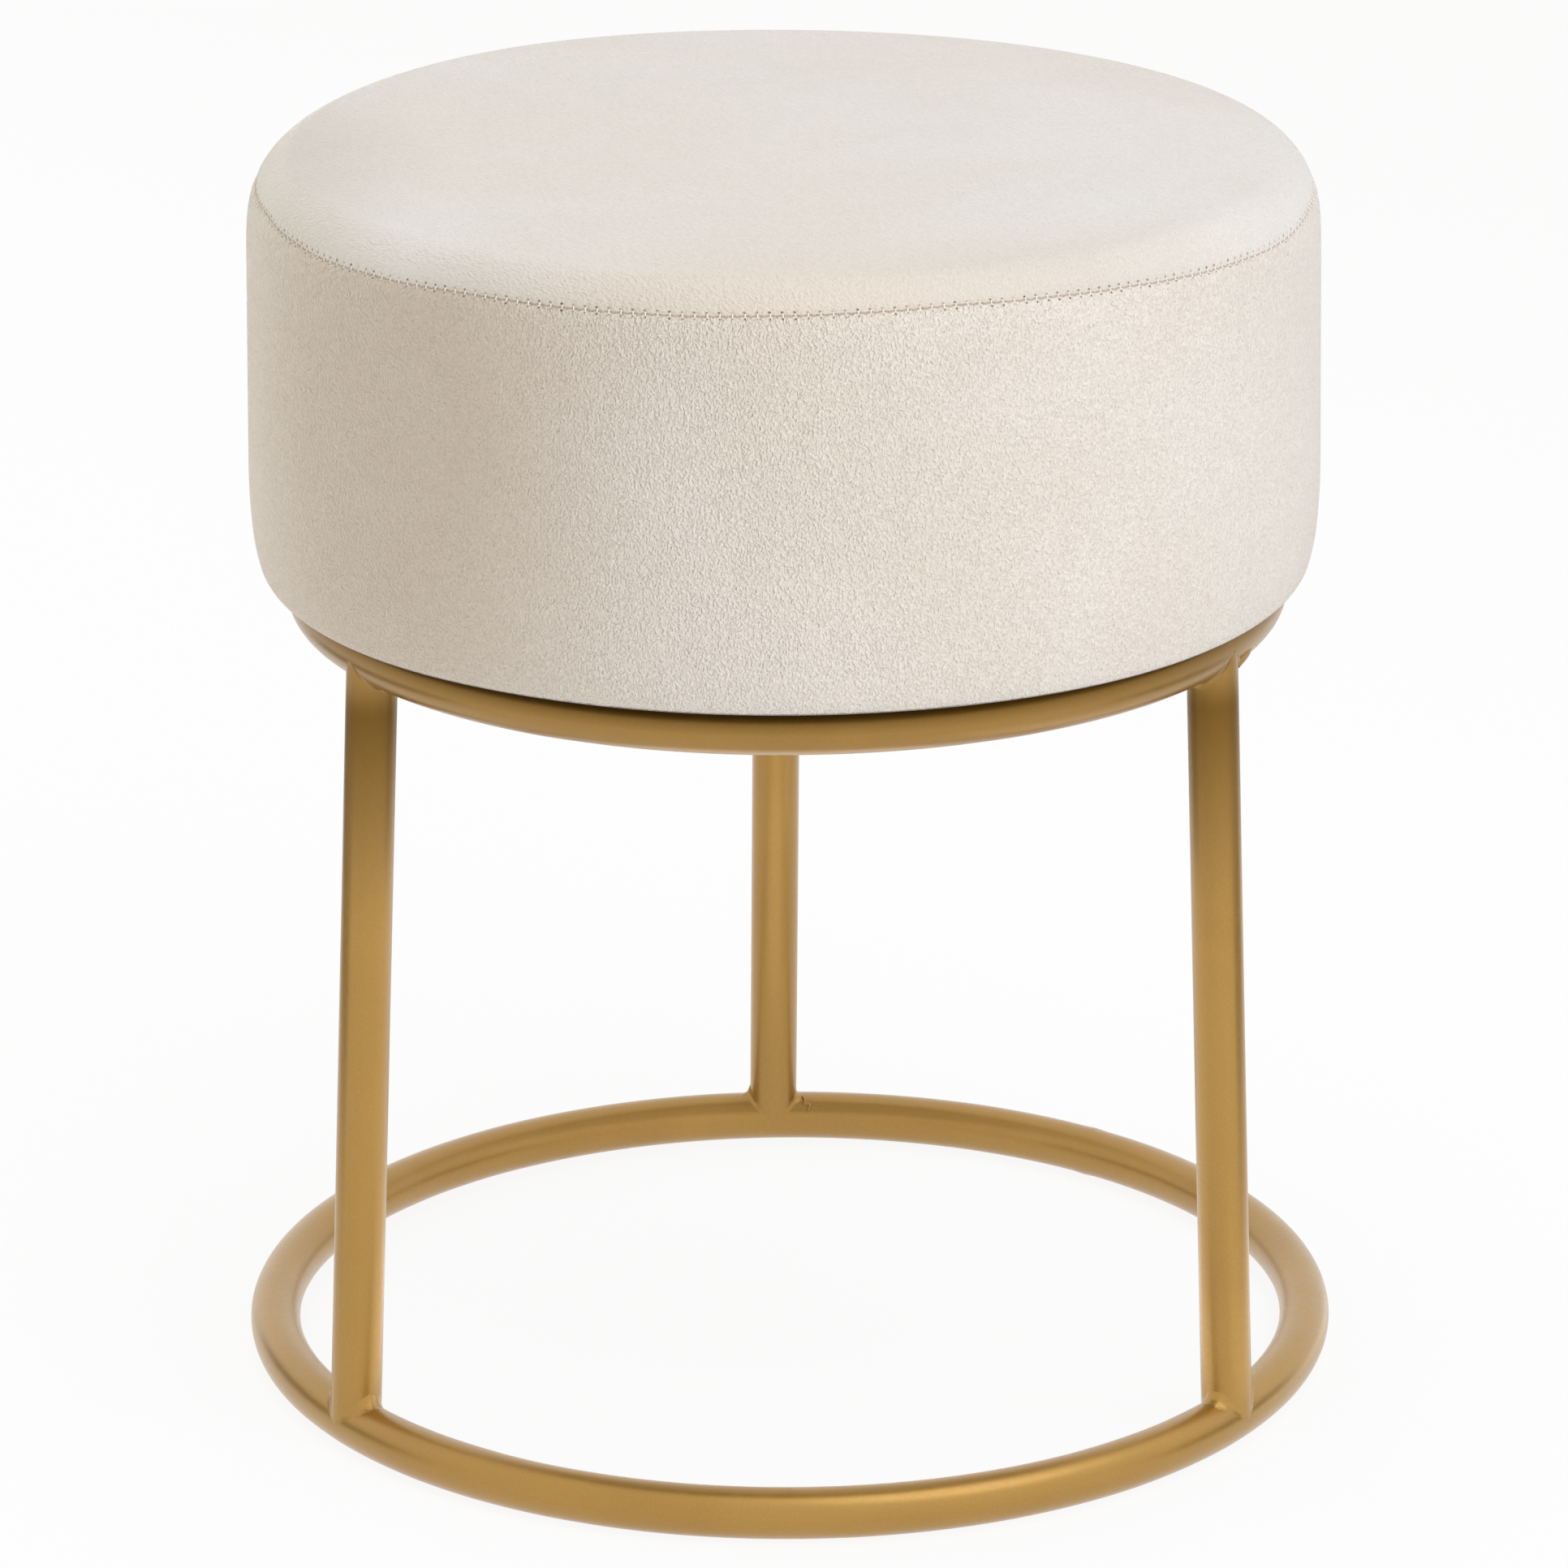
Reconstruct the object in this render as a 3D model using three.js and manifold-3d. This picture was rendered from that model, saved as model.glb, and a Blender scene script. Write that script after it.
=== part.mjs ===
// Round vanity stool: an upholstered drum seat bolted to a welded frame of bent steel tube.
// Millimetres, +Z up. The origin is on the floor under the middle of the base ring, and the
// front faces -Y.
import * as THREE from "three";
import { mergeVertices } from "three/addons/utils/BufferGeometryUtils.js";
import Module from "manifold-3d";

const manifold = await Module();
manifold.setup();

// Frame: round tube, bent into two rings that three legs join
const tubeDiameter = 16;
const tubeWall = 1.2;
const baseRingDiameter = 336; // on the tube's centre line
const seatRingInset = 13; // from the cushion's lower edge in to the seat ring's centre line
const frameHeight = 264.1; // top of the seat ring
const ventDiameter = 7; // hole in each ring inside a leg's mouth, which vents the closed tube
// Where the legs stand on the base ring and meet the seat ring, in degrees from +X
const footAngles = { front_left: -144.7, front_right: -34.9, rear: 91.9 };
const headAngles = { front_left: -148.2, front_right: -29.4, rear: 91.1 };

// Fillet welds where a leg meets a ring
const weldLeg = 3.4; // beside the ring, where the tubes cross at right angles
const weldLegAtFlank = 1.5; // at the flanks, where the leg runs into the ring's side
const weldCrown = 0.5; // how far the bead stands above a flat fillet

// Tabs welded inside the seat ring, which carry the seat
const tabWidth = 22;
const tabThickness = 3;
const boltInset = 22; // from the seat ring's inner wall to the bolt's axis
const boltHoleDiameter = 7;

// Bolts, washers and the tee nuts that they screw into
const boltDiameter = 6;
const boltEndInset = 1.7; // from the board's upper face down to the bolt's end
const boltHeadDiameter = 10.5;
const boltHeadHeight = 3.3;
const boltKeyWidth = 4; // across the flats of the hexagon socket
const boltKeyDepth = 2;
const washerDiameter = 12;
const washerThickness = 1.6;
const teeNutFlangeDiameter = 19;
const teeNutFlangeThickness = 1.3;
const teeNutBarrelDiameter = 7.8;
const teeNutBarrelInset = 1.7; // from the board's lower face up to the barrel's end
const threadClearance = 0.3; // round the bolt in the washer and the tee nut

// Seat: plywood board, foam block and sewn cover
const seatHeight = 401.1; // floor to the crown of the cushion
const seatDiameter = 338.2; // the cushion's widest, near its foot
const seatTaper = 1.2; // how much smaller the radius is under the shoulder
const seatCrown = 3.5; // rise of the top panel from its edge to its middle
const shoulderWidth = 16.3;
const shoulderDepth = 26.1;
const footWidth = 5.9; // how far the side draws in towards its lower edge
const footDepth = 31.2;
const rimDroop = 0.4; // the cover's lower edge hangs this far below the top of the seat ring
const seamDrop = 14.6; // from the crown down to the seam between top and side
const seamPinch = 1; // depth of the groove that the stitches pull in
const seamPinchSpread = 3; // width of that groove on either side of the seam
const coverThickness = 1.6; // velvet with its lining
const hemWidth = 17.4; // of the cover turned under the board, where it lies flat
const boardThickness = 12;
const dustCoverThickness = 0.6;
const dustCoverInset = 3.4; // from the flat hem's outer edge in to the dust cover's edge

// Clearances
const seatGap = 0.3; // between pieces that touch or are clamped
const weldGap = 0.36; // between a bead and the tubes that it joins
const overrun = 5; // of a cutting tool past what it cuts

// Fineness of the round shapes, in steps
const ringSteps = 60;
const ringSides = 16;
const boreSides = 8;
const legSides = 20;
const legBoreSides = 12;
const weldSteps = 28;
const hardwareSteps = 16;
const socketSides = 6;
const rootHalvings = 40;
const mergeTolerance = 1e-4;

// Worked out from the sizes above
const tubeRadius = tubeDiameter / 2;
const boreRadius = tubeRadius - tubeWall;
const baseRing = { radius: baseRingDiameter / 2, height: tubeRadius };
const rimRadius = seatDiameter / 2 - footWidth;
const seatRing = { radius: rimRadius - seatRingInset, height: frameHeight - tubeRadius };
const dustCoverBottom = frameHeight + seatGap;
const hemBottom = dustCoverBottom + dustCoverThickness + seatGap;
const boardBottom = hemBottom + coverThickness + seatGap;
const boardTop = boardBottom + boardThickness;
const foamBottom = boardTop + seatGap;
const hemOuterRadius = (rimRadius + seatRing.radius) / 2;
const hemInnerRadius = hemOuterRadius - hemWidth;
const dustCoverRadius = hemOuterRadius - dustCoverInset;
const tabTop = frameHeight;
const tabBottom = tabTop - tabThickness;
const boltCircleRadius = seatRing.radius - tubeRadius - boltInset;
const washerTop = tabBottom - seatGap;
const boltHeadTop = washerTop - washerThickness - seatGap;
const teeNutSeat = boardTop - teeNutFlangeThickness;

const legPlaces = Object.keys(footAngles);

// The tabs stand midway between the legs' heads
const fullTurn = 360;
const tabNeighbours = {
  front: ["front_left", "front_right"],
  right: ["front_right", "rear"],
  left: ["rear", "front_left"],
};
const tabTurns = Object.values(tabNeighbours).map(([from, to]) => {
  const span = (headAngles[to] - headAngles[from] + fullTurn) % fullTurn;
  return radians(headAngles[from] + span / 2);
});

// Finishes
const gold = finish("#b18c4b", 0.38, 0.75);
const steel = finish("#b9bcc0", 0.4, 0.9);
const plywood = finish("#c8a878", 0.8, 0);
const foam = finish("#e8dca6", 0.95, 0);
const velvet = finish("#e0d7cb", 0.9, 0);
const felt = finish("#26262a", 0.95, 0);

function finish(color, roughness, metalness) {
  return new THREE.MeshStandardMaterial({ color, roughness, metalness });
}

function radians(degrees) {
  return THREE.MathUtils.degToRad(degrees);
}

// A closed geometry as a solid that can be joined and cut
function solid(geometry) {
  const bare = geometry.clone();
  bare.deleteAttribute("normal");
  bare.deleteAttribute("uv");
  const merged = mergeVertices(bare, mergeTolerance);
  const mesh = new manifold.Mesh({
    numProp: 3,
    vertProperties: merged.attributes.position.array,
    triVerts: new Uint32Array(merged.index.array),
  });
  return new manifold.Manifold(mesh);
}

// A solid's surface as a flat-shaded geometry
function surface(body) {
  const { vertProperties, triVerts } = body.getMesh();
  const shared = new THREE.BufferGeometry();
  shared.setAttribute("position", new THREE.BufferAttribute(vertProperties, 3));
  shared.setIndex(new THREE.BufferAttribute(triVerts, 1));
  const flat = shared.toNonIndexed();
  flat.computeVertexNormals();
  return flat;
}

function mesh(name, body, material) {
  const made = new THREE.Mesh(surface(body), material);
  made.name = name;
  return made;
}

// A polygon with its flats on the circle, and one flat facing down
function polygon(radius, sides, centreX = 0, centreY = 0) {
  const corner = radius / Math.cos(Math.PI / sides);
  return Array.from({ length: sides }, (_, k) => {
    const turn = (2 * Math.PI * (k + 0.5)) / sides - Math.PI / 2;
    return new THREE.Vector2(
      centreX + corner * Math.cos(turn),
      centreY + corner * Math.sin(turn),
    );
  });
}

// An outline of (radius, height) points, anticlockwise, spun about the Z axis
function revolve(outline, steps) {
  const spun = new THREE.LatheGeometry(outline, steps);
  spun.rotateX(Math.PI / 2);
  return solid(spun);
}

function loop(points) {
  return [...points, points[0]];
}

// A flat outline raised from one height to another
function plate(shape, bottom, top) {
  const raised = new THREE.ExtrudeGeometry(shape, { depth: top - bottom, bevelEnabled: false });
  raised.translate(0, 0, bottom);
  return solid(raised);
}

// A flat round sheet or board
function disc(radius, bottom, top) {
  const outline = [
    new THREE.Vector2(0, bottom),
    new THREE.Vector2(radius, bottom),
    new THREE.Vector2(radius, top),
    new THREE.Vector2(0, top),
  ];
  return revolve(outline, ringSteps);
}

// A round hole's cutter, standing at (x, y)
function rod(radius, bottom, top, sides, x = 0, y = 0) {
  return plate(new THREE.Shape(polygon(radius, sides, x, y)), bottom, top);
}

function polar(radius, turn, height) {
  return new THREE.Vector3(radius * Math.cos(turn), radius * Math.sin(turn), height);
}

// The frame

function ringBody(ring, radius, sides) {
  return revolve(loop(polygon(radius, sides, ring.radius, ring.height)), ringSteps);
}

// Where a leg's axis meets the rings' centre lines
function legEnds(place) {
  return {
    foot: polar(baseRing.radius, radians(footAngles[place]), baseRing.height),
    head: polar(seatRing.radius, radians(headAngles[place]), seatRing.height),
  };
}

// A body that stands on the origin, moved to stand on a point along a direction
function standOn(geometry, point, direction) {
  const up = new THREE.Vector3(0, 0, 1);
  geometry.applyQuaternion(new THREE.Quaternion().setFromUnitVectors(up, direction));
  geometry.translate(point.x, point.y, point.z);
  return solid(geometry);
}

function legAxis(place) {
  const { foot, head } = legEnds(place);
  return head.sub(foot).normalize();
}

// A closed tube ring with a vent hole in it inside each leg's mouth
function tubeRing(ring, end, side) {
  const vents = legPlaces.map((place) => {
    const vent = new THREE.CylinderGeometry(
      ventDiameter / 2,
      ventDiameter / 2,
      tubeDiameter,
      boreSides,
    );
    vent.rotateX(Math.PI / 2);
    vent.translate(0, 0, tubeDiameter / 2);
    return standOn(vent, legEnds(place)[end], legAxis(place).multiplyScalar(side));
  });
  const hollow = ringBody(ring, tubeRadius, ringSides).subtract(
    ringBody(ring, boreRadius, boreSides),
  );
  return vents.reduce((body, vent) => body.subtract(vent), hollow);
}

// A straight tube whose ends are coped round both rings
function leg(place) {
  const { foot, head } = legEnds(place);
  const section = new THREE.Shape(polygon(tubeRadius, legSides));
  section.holes.push(new THREE.Path(polygon(boreRadius, legBoreSides)));
  const depth = foot.distanceTo(head);
  const stock = new THREE.ExtrudeGeometry(section, { depth, bevelEnabled: false });
  const copeRadius = tubeRadius + seatGap;
  return standOn(stock, foot, legAxis(place))
    .subtract(ringBody(baseRing, copeRadius, ringSides))
    .subtract(ringBody(seatRing, copeRadius, ringSides));
}

// The weld bead round a coped leg end. It follows the curve where the two tubes cross, a gap
// away from both, with a section that is widest beside the ring and narrow on its flanks.
function weld(ring, point, away) {
  const legFace = tubeRadius / Math.cos(Math.PI / legSides) + weldGap;
  const ringFace = tubeRadius / Math.cos(Math.PI / ringSides) + weldGap;
  const ringWay = new THREE.Vector3(-point.y, point.x, 0).normalize();
  const across = away.clone().cross(ringWay).normalize();
  const along = across.clone().cross(away);
  const ringCentre = (p) => polar(ring.radius, Math.atan2(p.y, p.x), ring.height);
  const outOfLeg = (turn) =>
    along.clone().multiplyScalar(Math.cos(turn)).addScaledVector(across, Math.sin(turn));
  const onLeg = (turn, rise) =>
    point.clone().addScaledVector(away, rise).addScaledVector(outOfLeg(turn), legFace);
  const root = (turn) => {
    let low = 0;
    let high = 2 * ringFace;
    for (let halving = 0; halving < rootHalvings; halving += 1) {
      const rise = (low + high) / 2;
      const spot = onLeg(turn, rise);
      const outside = spot.distanceTo(ringCentre(spot)) > ringFace;
      [low, high] = outside ? [low, rise] : [rise, high];
    }
    return onLeg(turn, high);
  };
  const stepTurn = (2 * Math.PI) / weldSteps;
  const sections = Array.from({ length: weldSteps }, (_, k) => {
    const turn = k * stepTurn;
    const corner = root(turn);
    const legNormal = outOfLeg(turn);
    const ringNormal = corner.clone().sub(ringCentre(corner)).normalize();
    const run = root(turn + stepTurn / 2).sub(root(turn - stepTurn / 2)).normalize();
    const size = weldLegAtFlank + (weldLeg - weldLegAtFlank) * Math.abs(Math.cos(turn));
    const legToe = corner.clone().addScaledVector(legNormal.clone().cross(run), size);
    const offAxis = legToe.clone().sub(point);
    const rise = offAxis.dot(away);
    offAxis.addScaledVector(away, -rise).setLength(legFace);
    legToe.copy(point).addScaledVector(away, rise).add(offAxis);
    const ringToe = corner.clone().addScaledVector(run.clone().cross(ringNormal), size);
    const centre = ringCentre(ringToe);
    ringToe.sub(centre).setLength(ringFace).add(centre);
    const outward = legNormal.clone().add(ringNormal).normalize();
    const crown = legToe.clone().add(ringToe).multiplyScalar(1 / 2);
    crown.addScaledVector(outward, weldCrown);
    return [corner, ringToe, crown, legToe];
  });
  return sweptLoop(sections);
}

// A closed skin over a loop of sections that have as many points each
function sweptLoop(sections) {
  const sides = sections[0].length;
  const positions = sections.flat().flatMap((p) => p.toArray());
  const faces = [];
  sections.forEach((_, k) => {
    const here = k * sides;
    const next = ((k + 1) % sections.length) * sides;
    for (let side = 0; side < sides; side += 1) {
      const other = (side + 1) % sides;
      faces.push(here + side, next + side, next + other);
      faces.push(here + side, next + other, here + other);
    }
  });
  const skin = new THREE.BufferGeometry();
  skin.setAttribute("position", new THREE.Float32BufferAttribute(positions, 3));
  skin.setIndex(faces);
  return solid(skin);
}

// The seat's fixings, all drawn at the bolt circle on the +X axis

// A lug whose square end meets the ring's inner wall and whose round end holds the bolt
function tab() {
  const halfWidth = tabWidth / 2;
  const drop = seatRing.height - tabBottom;
  const wallRadius = seatRing.radius - Math.sqrt(tubeRadius ** 2 - drop ** 2) - seatGap;
  const outerEnd = Math.sqrt(wallRadius ** 2 - halfWidth ** 2);
  const outline = new THREE.Shape();
  outline.moveTo(outerEnd, -halfWidth);
  outline.lineTo(outerEnd, halfWidth);
  outline.lineTo(boltCircleRadius, halfWidth);
  outline.absarc(boltCircleRadius, 0, halfWidth, Math.PI / 2, (3 * Math.PI) / 2);
  const hole = polygon(boltHoleDiameter / 2, hardwareSteps, boltCircleRadius);
  outline.holes.push(new THREE.Path(hole));
  return plate(outline, tabBottom, tabTop);
}

function washer() {
  const outline = new THREE.Shape(
    polygon(washerDiameter / 2, hardwareSteps, boltCircleRadius),
  );
  const bore = boltDiameter / 2 + threadClearance;
  outline.holes.push(new THREE.Path(polygon(bore, hardwareSteps, boltCircleRadius)));
  return plate(outline, washerTop - washerThickness, washerTop);
}

// A button-head bolt with a hexagon socket
function bolt() {
  const shank = boltDiameter / 2;
  const head = boltHeadDiameter / 2;
  const headBottom = boltHeadTop - boltHeadHeight;
  const domeShares = [0, 0.35, 0.7, 1];
  const dome = domeShares.map((share) => {
    const turn = (share * Math.PI) / 2;
    const reach = boltKeyWidth / 2 + (head - boltKeyWidth / 2) * Math.sin(turn);
    return new THREE.Vector2(reach, boltHeadTop - boltHeadHeight * Math.cos(turn));
  });
  const outline = [
    new THREE.Vector2(0, headBottom),
    ...dome,
    new THREE.Vector2(shank, boltHeadTop),
    new THREE.Vector2(shank, boardTop - boltEndInset),
    new THREE.Vector2(0, boardTop - boltEndInset),
  ];
  const socket = rod(boltKeyWidth / 2, headBottom - overrun, headBottom + boltKeyDepth, socketSides);
  return revolve(outline, hardwareSteps)
    .subtract(socket)
    .translate([boltCircleRadius, 0, 0]);
}

// A flanged nut let into the board's upper face
function teeNut() {
  const flange = teeNutFlangeDiameter / 2;
  const barrel = teeNutBarrelDiameter / 2;
  const bore = boltDiameter / 2 + threadClearance;
  const barrelBottom = boardBottom + teeNutBarrelInset;
  const outline = [
    new THREE.Vector2(bore, barrelBottom),
    new THREE.Vector2(barrel, barrelBottom),
    new THREE.Vector2(barrel, teeNutSeat),
    new THREE.Vector2(flange, teeNutSeat),
    new THREE.Vector2(flange, boardTop),
    new THREE.Vector2(bore, boardTop),
  ];
  return revolve(loop(outline), hardwareSteps).translate([boltCircleRadius, 0, 0]);
}

// The cushion's outside, from the hem's inner edge round to the middle of the top. The seam
// point carries a mark, and so do its two neighbours at the edges of the stitched groove.
function cushionOutline() {
  const widest = seatDiameter / 2;
  const rimBottom = frameHeight - rimDroop;
  const topEdge = seatHeight - seatCrown;
  const shoulderStart = topEdge - shoulderDepth;
  const shoulderRadius = widest - seatTaper - shoulderWidth;
  const seamTurn = Math.asin((seatHeight - seamDrop - shoulderStart) / shoulderDepth);
  const pinchTurn = seamPinchSpread / shoulderDepth;
  const points = [
    { x: hemInnerRadius, y: hemBottom },
    { x: hemOuterRadius, y: hemBottom },
  ];
  const footShares = [0, 0.2, 0.4, 0.6, 1];
  footShares.forEach((share) => {
    const turn = (share * Math.PI) / 2;
    points.push({
      x: rimRadius + footWidth * Math.sin(turn),
      y: rimBottom + footDepth * (1 - Math.cos(turn)),
    });
  });
  const shoulderTurns = [
    { turn: 0 },
    { turn: seamTurn / 2 },
    { turn: seamTurn - pinchTurn },
    { turn: seamTurn, seam: true },
    { turn: seamTurn + pinchTurn },
    { turn: (seamTurn + pinchTurn + Math.PI / 2) / 2 },
    { turn: Math.PI / 2 },
  ];
  shoulderTurns.forEach(({ turn, seam }) =>
    points.push({
      x: shoulderRadius + shoulderWidth * Math.cos(turn),
      y: shoulderStart + shoulderDepth * Math.sin(turn),
      seam,
    }),
  );
  const crownShares = [0.75, 0.45, 0];
  crownShares.forEach((share) =>
    points.push({
      x: shoulderRadius * share,
      y: topEdge + seatCrown * (1 - share ** 2),
    }),
  );
  return points;
}

// The same outline, moved inwards by a distance along its normals
function inset(points, distance) {
  return points.map((point, k) => {
    const before = points[Math.max(k - 1, 0)];
    const after = points[Math.min(k + 1, points.length - 1)];
    const run = new THREE.Vector2(after.x - before.x, after.y - before.y).normalize();
    const onAxis = k === points.length - 1;
    return {
      x: onAxis ? 0 : point.x - run.y * distance,
      y: onAxis ? point.y - distance : point.y + run.x * distance,
      seam: point.seam,
    };
  });
}

// The radius at a height of the side that climbs from an outline's lowest point
function radiusAt(points, height) {
  const lowest = Math.min(...points.map((point) => point.y));
  const side = points.slice(points.findIndex((point) => point.y === lowest));
  const above = side.findIndex((point) => point.y > height);
  const [from, to] = side.slice(above - 1, above + 1);
  return from.x + ((height - from.y) * (to.x - from.x)) / (to.y - from.y);
}

const coverOutside = cushionOutline();
const coverInside = inset(coverOutside, coverThickness);
const foamOutside = inset(coverOutside, coverThickness + seatGap);
const seamIndex = coverOutside.findIndex((point) => point.seam);
const boardRadius = radiusAt(foamOutside, boardBottom);

// The cover's two panels meet at the seam, where both are pinched in
function seamEdge(side) {
  const outer = coverOutside[seamIndex];
  const inner = coverInside[seamIndex];
  const pinch = seamPinch / coverThickness;
  const shift = (side * seatGap) / 2;
  return {
    outer: new THREE.Vector2(
      outer.x + (inner.x - outer.x) * pinch,
      outer.y + (inner.y - outer.y) * pinch + shift,
    ),
    inner: new THREE.Vector2(inner.x, inner.y + shift),
  };
}

function vectors(points) {
  return points.map((point) => new THREE.Vector2(point.x, point.y));
}

function sideBand() {
  const edge = seamEdge(-1);
  const outside = vectors(coverOutside.slice(0, seamIndex));
  const inside = vectors(coverInside.slice(0, seamIndex)).reverse();
  const band = revolve(loop([...outside, edge.outer, edge.inner, ...inside]), ringSteps);
  return drilled(band, boltHoles(boltHoleDiameter / 2, hemBottom - overrun, boardBottom));
}

function topPanel() {
  const edge = seamEdge(1);
  const outside = vectors(coverOutside.slice(seamIndex + 1));
  const inside = vectors(coverInside.slice(seamIndex + 1)).reverse();
  return revolve([...inside, edge.inner, edge.outer, ...outside], ringSteps);
}

function foamBlock() {
  const above = foamOutside.slice(1).filter((point) => point.y > foamBottom);
  const outline = [
    new THREE.Vector2(0, foamBottom),
    new THREE.Vector2(radiusAt(foamOutside, foamBottom), foamBottom),
    ...vectors(above),
  ];
  return revolve(outline, ringSteps);
}

function boltHoles(radius, bottom, top) {
  return tabTurns.map((turn) => {
    const place = polar(boltCircleRadius, turn, 0);
    return rod(radius, bottom, top, hardwareSteps, place.x, place.y);
  });
}

function drilled(body, holes) {
  return holes.reduce((rest, hole) => rest.subtract(hole), body);
}

// The plywood board, bored for the tee nuts' barrels and let in for their flanges
function seatBoard() {
  const blank = disc(boardRadius, boardBottom, boardTop);
  const barrelHole = teeNutBarrelDiameter / 2 + seatGap;
  const flangeHole = teeNutFlangeDiameter / 2 + seatGap;
  const barrels = boltHoles(barrelHole, boardBottom - overrun, boardTop + overrun);
  const flanges = boltHoles(flangeHole, teeNutSeat - seatGap, boardTop + overrun);
  return drilled(drilled(blank, barrels), flanges);
}

function dustCover() {
  const top = dustCoverBottom + dustCoverThickness;
  const sheet = disc(dustCoverRadius, dustCoverBottom, top);
  const holes = boltHoles(boltHoleDiameter / 2, dustCoverBottom - overrun, top + overrun);
  return drilled(sheet, holes);
}

const frame = new THREE.Group();
frame.add(mesh("base_ring", tubeRing(baseRing, "foot", 1), gold));
frame.add(mesh("seat_ring", tubeRing(seatRing, "head", -1), gold));
legPlaces.forEach((place) => {
  const { foot, head } = legEnds(place);
  const axis = legAxis(place);
  frame.add(mesh(`leg_${place}`, leg(place), gold));
  frame.add(mesh(`foot_weld_${place}`, weld(baseRing, foot, axis), gold));
  frame.add(mesh(`head_weld_${place}`, weld(seatRing, head, axis.clone().negate()), gold));
});

const fixings = new THREE.Group();
Object.keys(tabNeighbours).forEach((place, k) => {
  const station = new THREE.Group();
  station.rotation.z = tabTurns[k];
  station.add(mesh(`seat_tab_${place}`, tab(), gold));
  station.add(mesh(`washer_${place}`, washer(), steel));
  station.add(mesh(`seat_bolt_${place}`, bolt(), steel));
  station.add(mesh(`tee_nut_${place}`, teeNut(), steel));
  fixings.add(station);
});

const seat = new THREE.Group();
seat.add(mesh("seat_board", seatBoard(), plywood));
seat.add(mesh("foam_block", foamBlock(), foam));
seat.add(mesh("cover_side_band", sideBand(), velvet));
seat.add(mesh("cover_top_panel", topPanel(), velvet));
seat.add(mesh("dust_cover", dustCover(), felt));

const stool = new THREE.Group();
stool.add(frame, fixings, seat);

export default stool;
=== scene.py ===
from math import atan2, cos, degrees, exp, hypot, pi, radians, remainder, sin, sqrt

import bmesh
import bpy
import numpy as np
from mathutils import Matrix, Vector, noise


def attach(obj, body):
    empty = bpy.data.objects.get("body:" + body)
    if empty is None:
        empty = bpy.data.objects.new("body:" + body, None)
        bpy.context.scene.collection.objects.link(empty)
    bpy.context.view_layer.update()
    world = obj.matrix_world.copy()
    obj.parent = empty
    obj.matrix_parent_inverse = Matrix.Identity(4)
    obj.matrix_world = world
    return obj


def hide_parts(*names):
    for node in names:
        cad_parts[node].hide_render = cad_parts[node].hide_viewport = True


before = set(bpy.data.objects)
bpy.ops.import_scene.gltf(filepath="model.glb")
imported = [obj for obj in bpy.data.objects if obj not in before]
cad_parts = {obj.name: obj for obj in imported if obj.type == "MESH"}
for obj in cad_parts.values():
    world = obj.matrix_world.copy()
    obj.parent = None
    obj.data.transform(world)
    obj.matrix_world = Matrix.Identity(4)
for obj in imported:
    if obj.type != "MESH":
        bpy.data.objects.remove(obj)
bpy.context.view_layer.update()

# Sizes in metres, as the frame and the seat were measured
MM = 0.001
TUBE_RADIUS = 8 * MM
TUBE_WALL = 1.2 * MM
BASE_RING = (168 * MM, 8 * MM)  # radius and height of the tube's centre line
SEAT_RING = (150.2 * MM, 256.1 * MM)
RING_TOP = 264.1  # top of the seat ring, in millimetres
RING_WALL = 142.2  # its inner wall's radius, in millimetres
# Where each leg stands on the base ring and meets the seat ring, in degrees from +X
LEG_ANGLES = {"front_left": (-144.7, -148.2), "front_right": (-34.9, -29.4), "rear": (91.9, 91.1)}
TAB_ANGLES = {"front": -88.8, "right": 30.85, "left": 151.45}
BOLT_CIRCLE = 120.2 * MM

# The cushion's outside, in millimetres
HEM_INNER, HEM_OUTER, HEM_HEIGHT = 139.3, 156.7, 265.3
RIM_RADIUS, RIM_BOTTOM = 163.2, 263.7
WIDEST, FOOT_DEPTH, TAPER = 169.1, 31.2, 1.2
SHOULDER_WIDTH, SHOULDER_DEPTH = 16.3, 26.1
TOP_EDGE, CROWN = 397.6, 3.5
FLAT_RADIUS, SHOULDER_BASE = WIDEST - TAPER - SHOULDER_WIDTH, TOP_EDGE - SHOULDER_DEPTH
OFF_CENTRE = -0.67  # how far to the right of the frame's middle the cushion was bolted on
VELVET, FOAM_INSET = 1.3, 2.2  # the cloth, and the foam's depth under its outside
MOST_SWELL = 1.6  # how far the filling may press the cloth out
FOAM_BOTTOM = RING_TOP + 15.4
SEAM_RADIUS, SEAM_MIDDLE = 165.3, 387.0  # the seam's radius and mean height
SEAM_PINCH, SEAM_SPREAD = 0.55, 2.4
RIM_FROM_SEAM = -116  # length along the cover from the seam to where the filling begins
CROWN_GRID = 50.0  # radius of the grid in the top's middle, inside the spun rows
ABOVE_SEAM = 390  # a height that only the top's middle passes

STITCHES, STAPLES = 279, 36
RING_COLUMNS, TUBE_SIDES, COVER_COLUMNS = 360, 48, 200
SHOULDER_STEPS = 200
# Where the seam between top and side wanders: degrees round from +X, height
SEAM_HEIGHTS = [
    (-180, 387.0), (-165, 387.4), (-157, 386.3), (-148, 385.5), (-137, 386.1),
    (-124, 387.2), (-112, 387.2), (-101, 387.4), (-90, 388.0), (-81, 388.4),
    (-72, 388.8), (-64, 388.1), (-53, 387.0), (-46, 385.9), (-39, 384.9), (-25, 383.7),
    (-5, 385.4), (30, 387.2), (65, 386.5), (95, 387.5), (125, 386.2), (155, 387.3), (180, 387.0),
]


# Work on pieces

def with_settings(thing, **settings):
    for name, value in settings.items():
        setattr(thing, name, value)
    return thing


def nothing_selected():
    if bpy.context.object and bpy.context.object.mode != "OBJECT":
        bpy.ops.object.mode_set(mode="OBJECT")
    bpy.ops.object.select_all(action="DESELECT")


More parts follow.
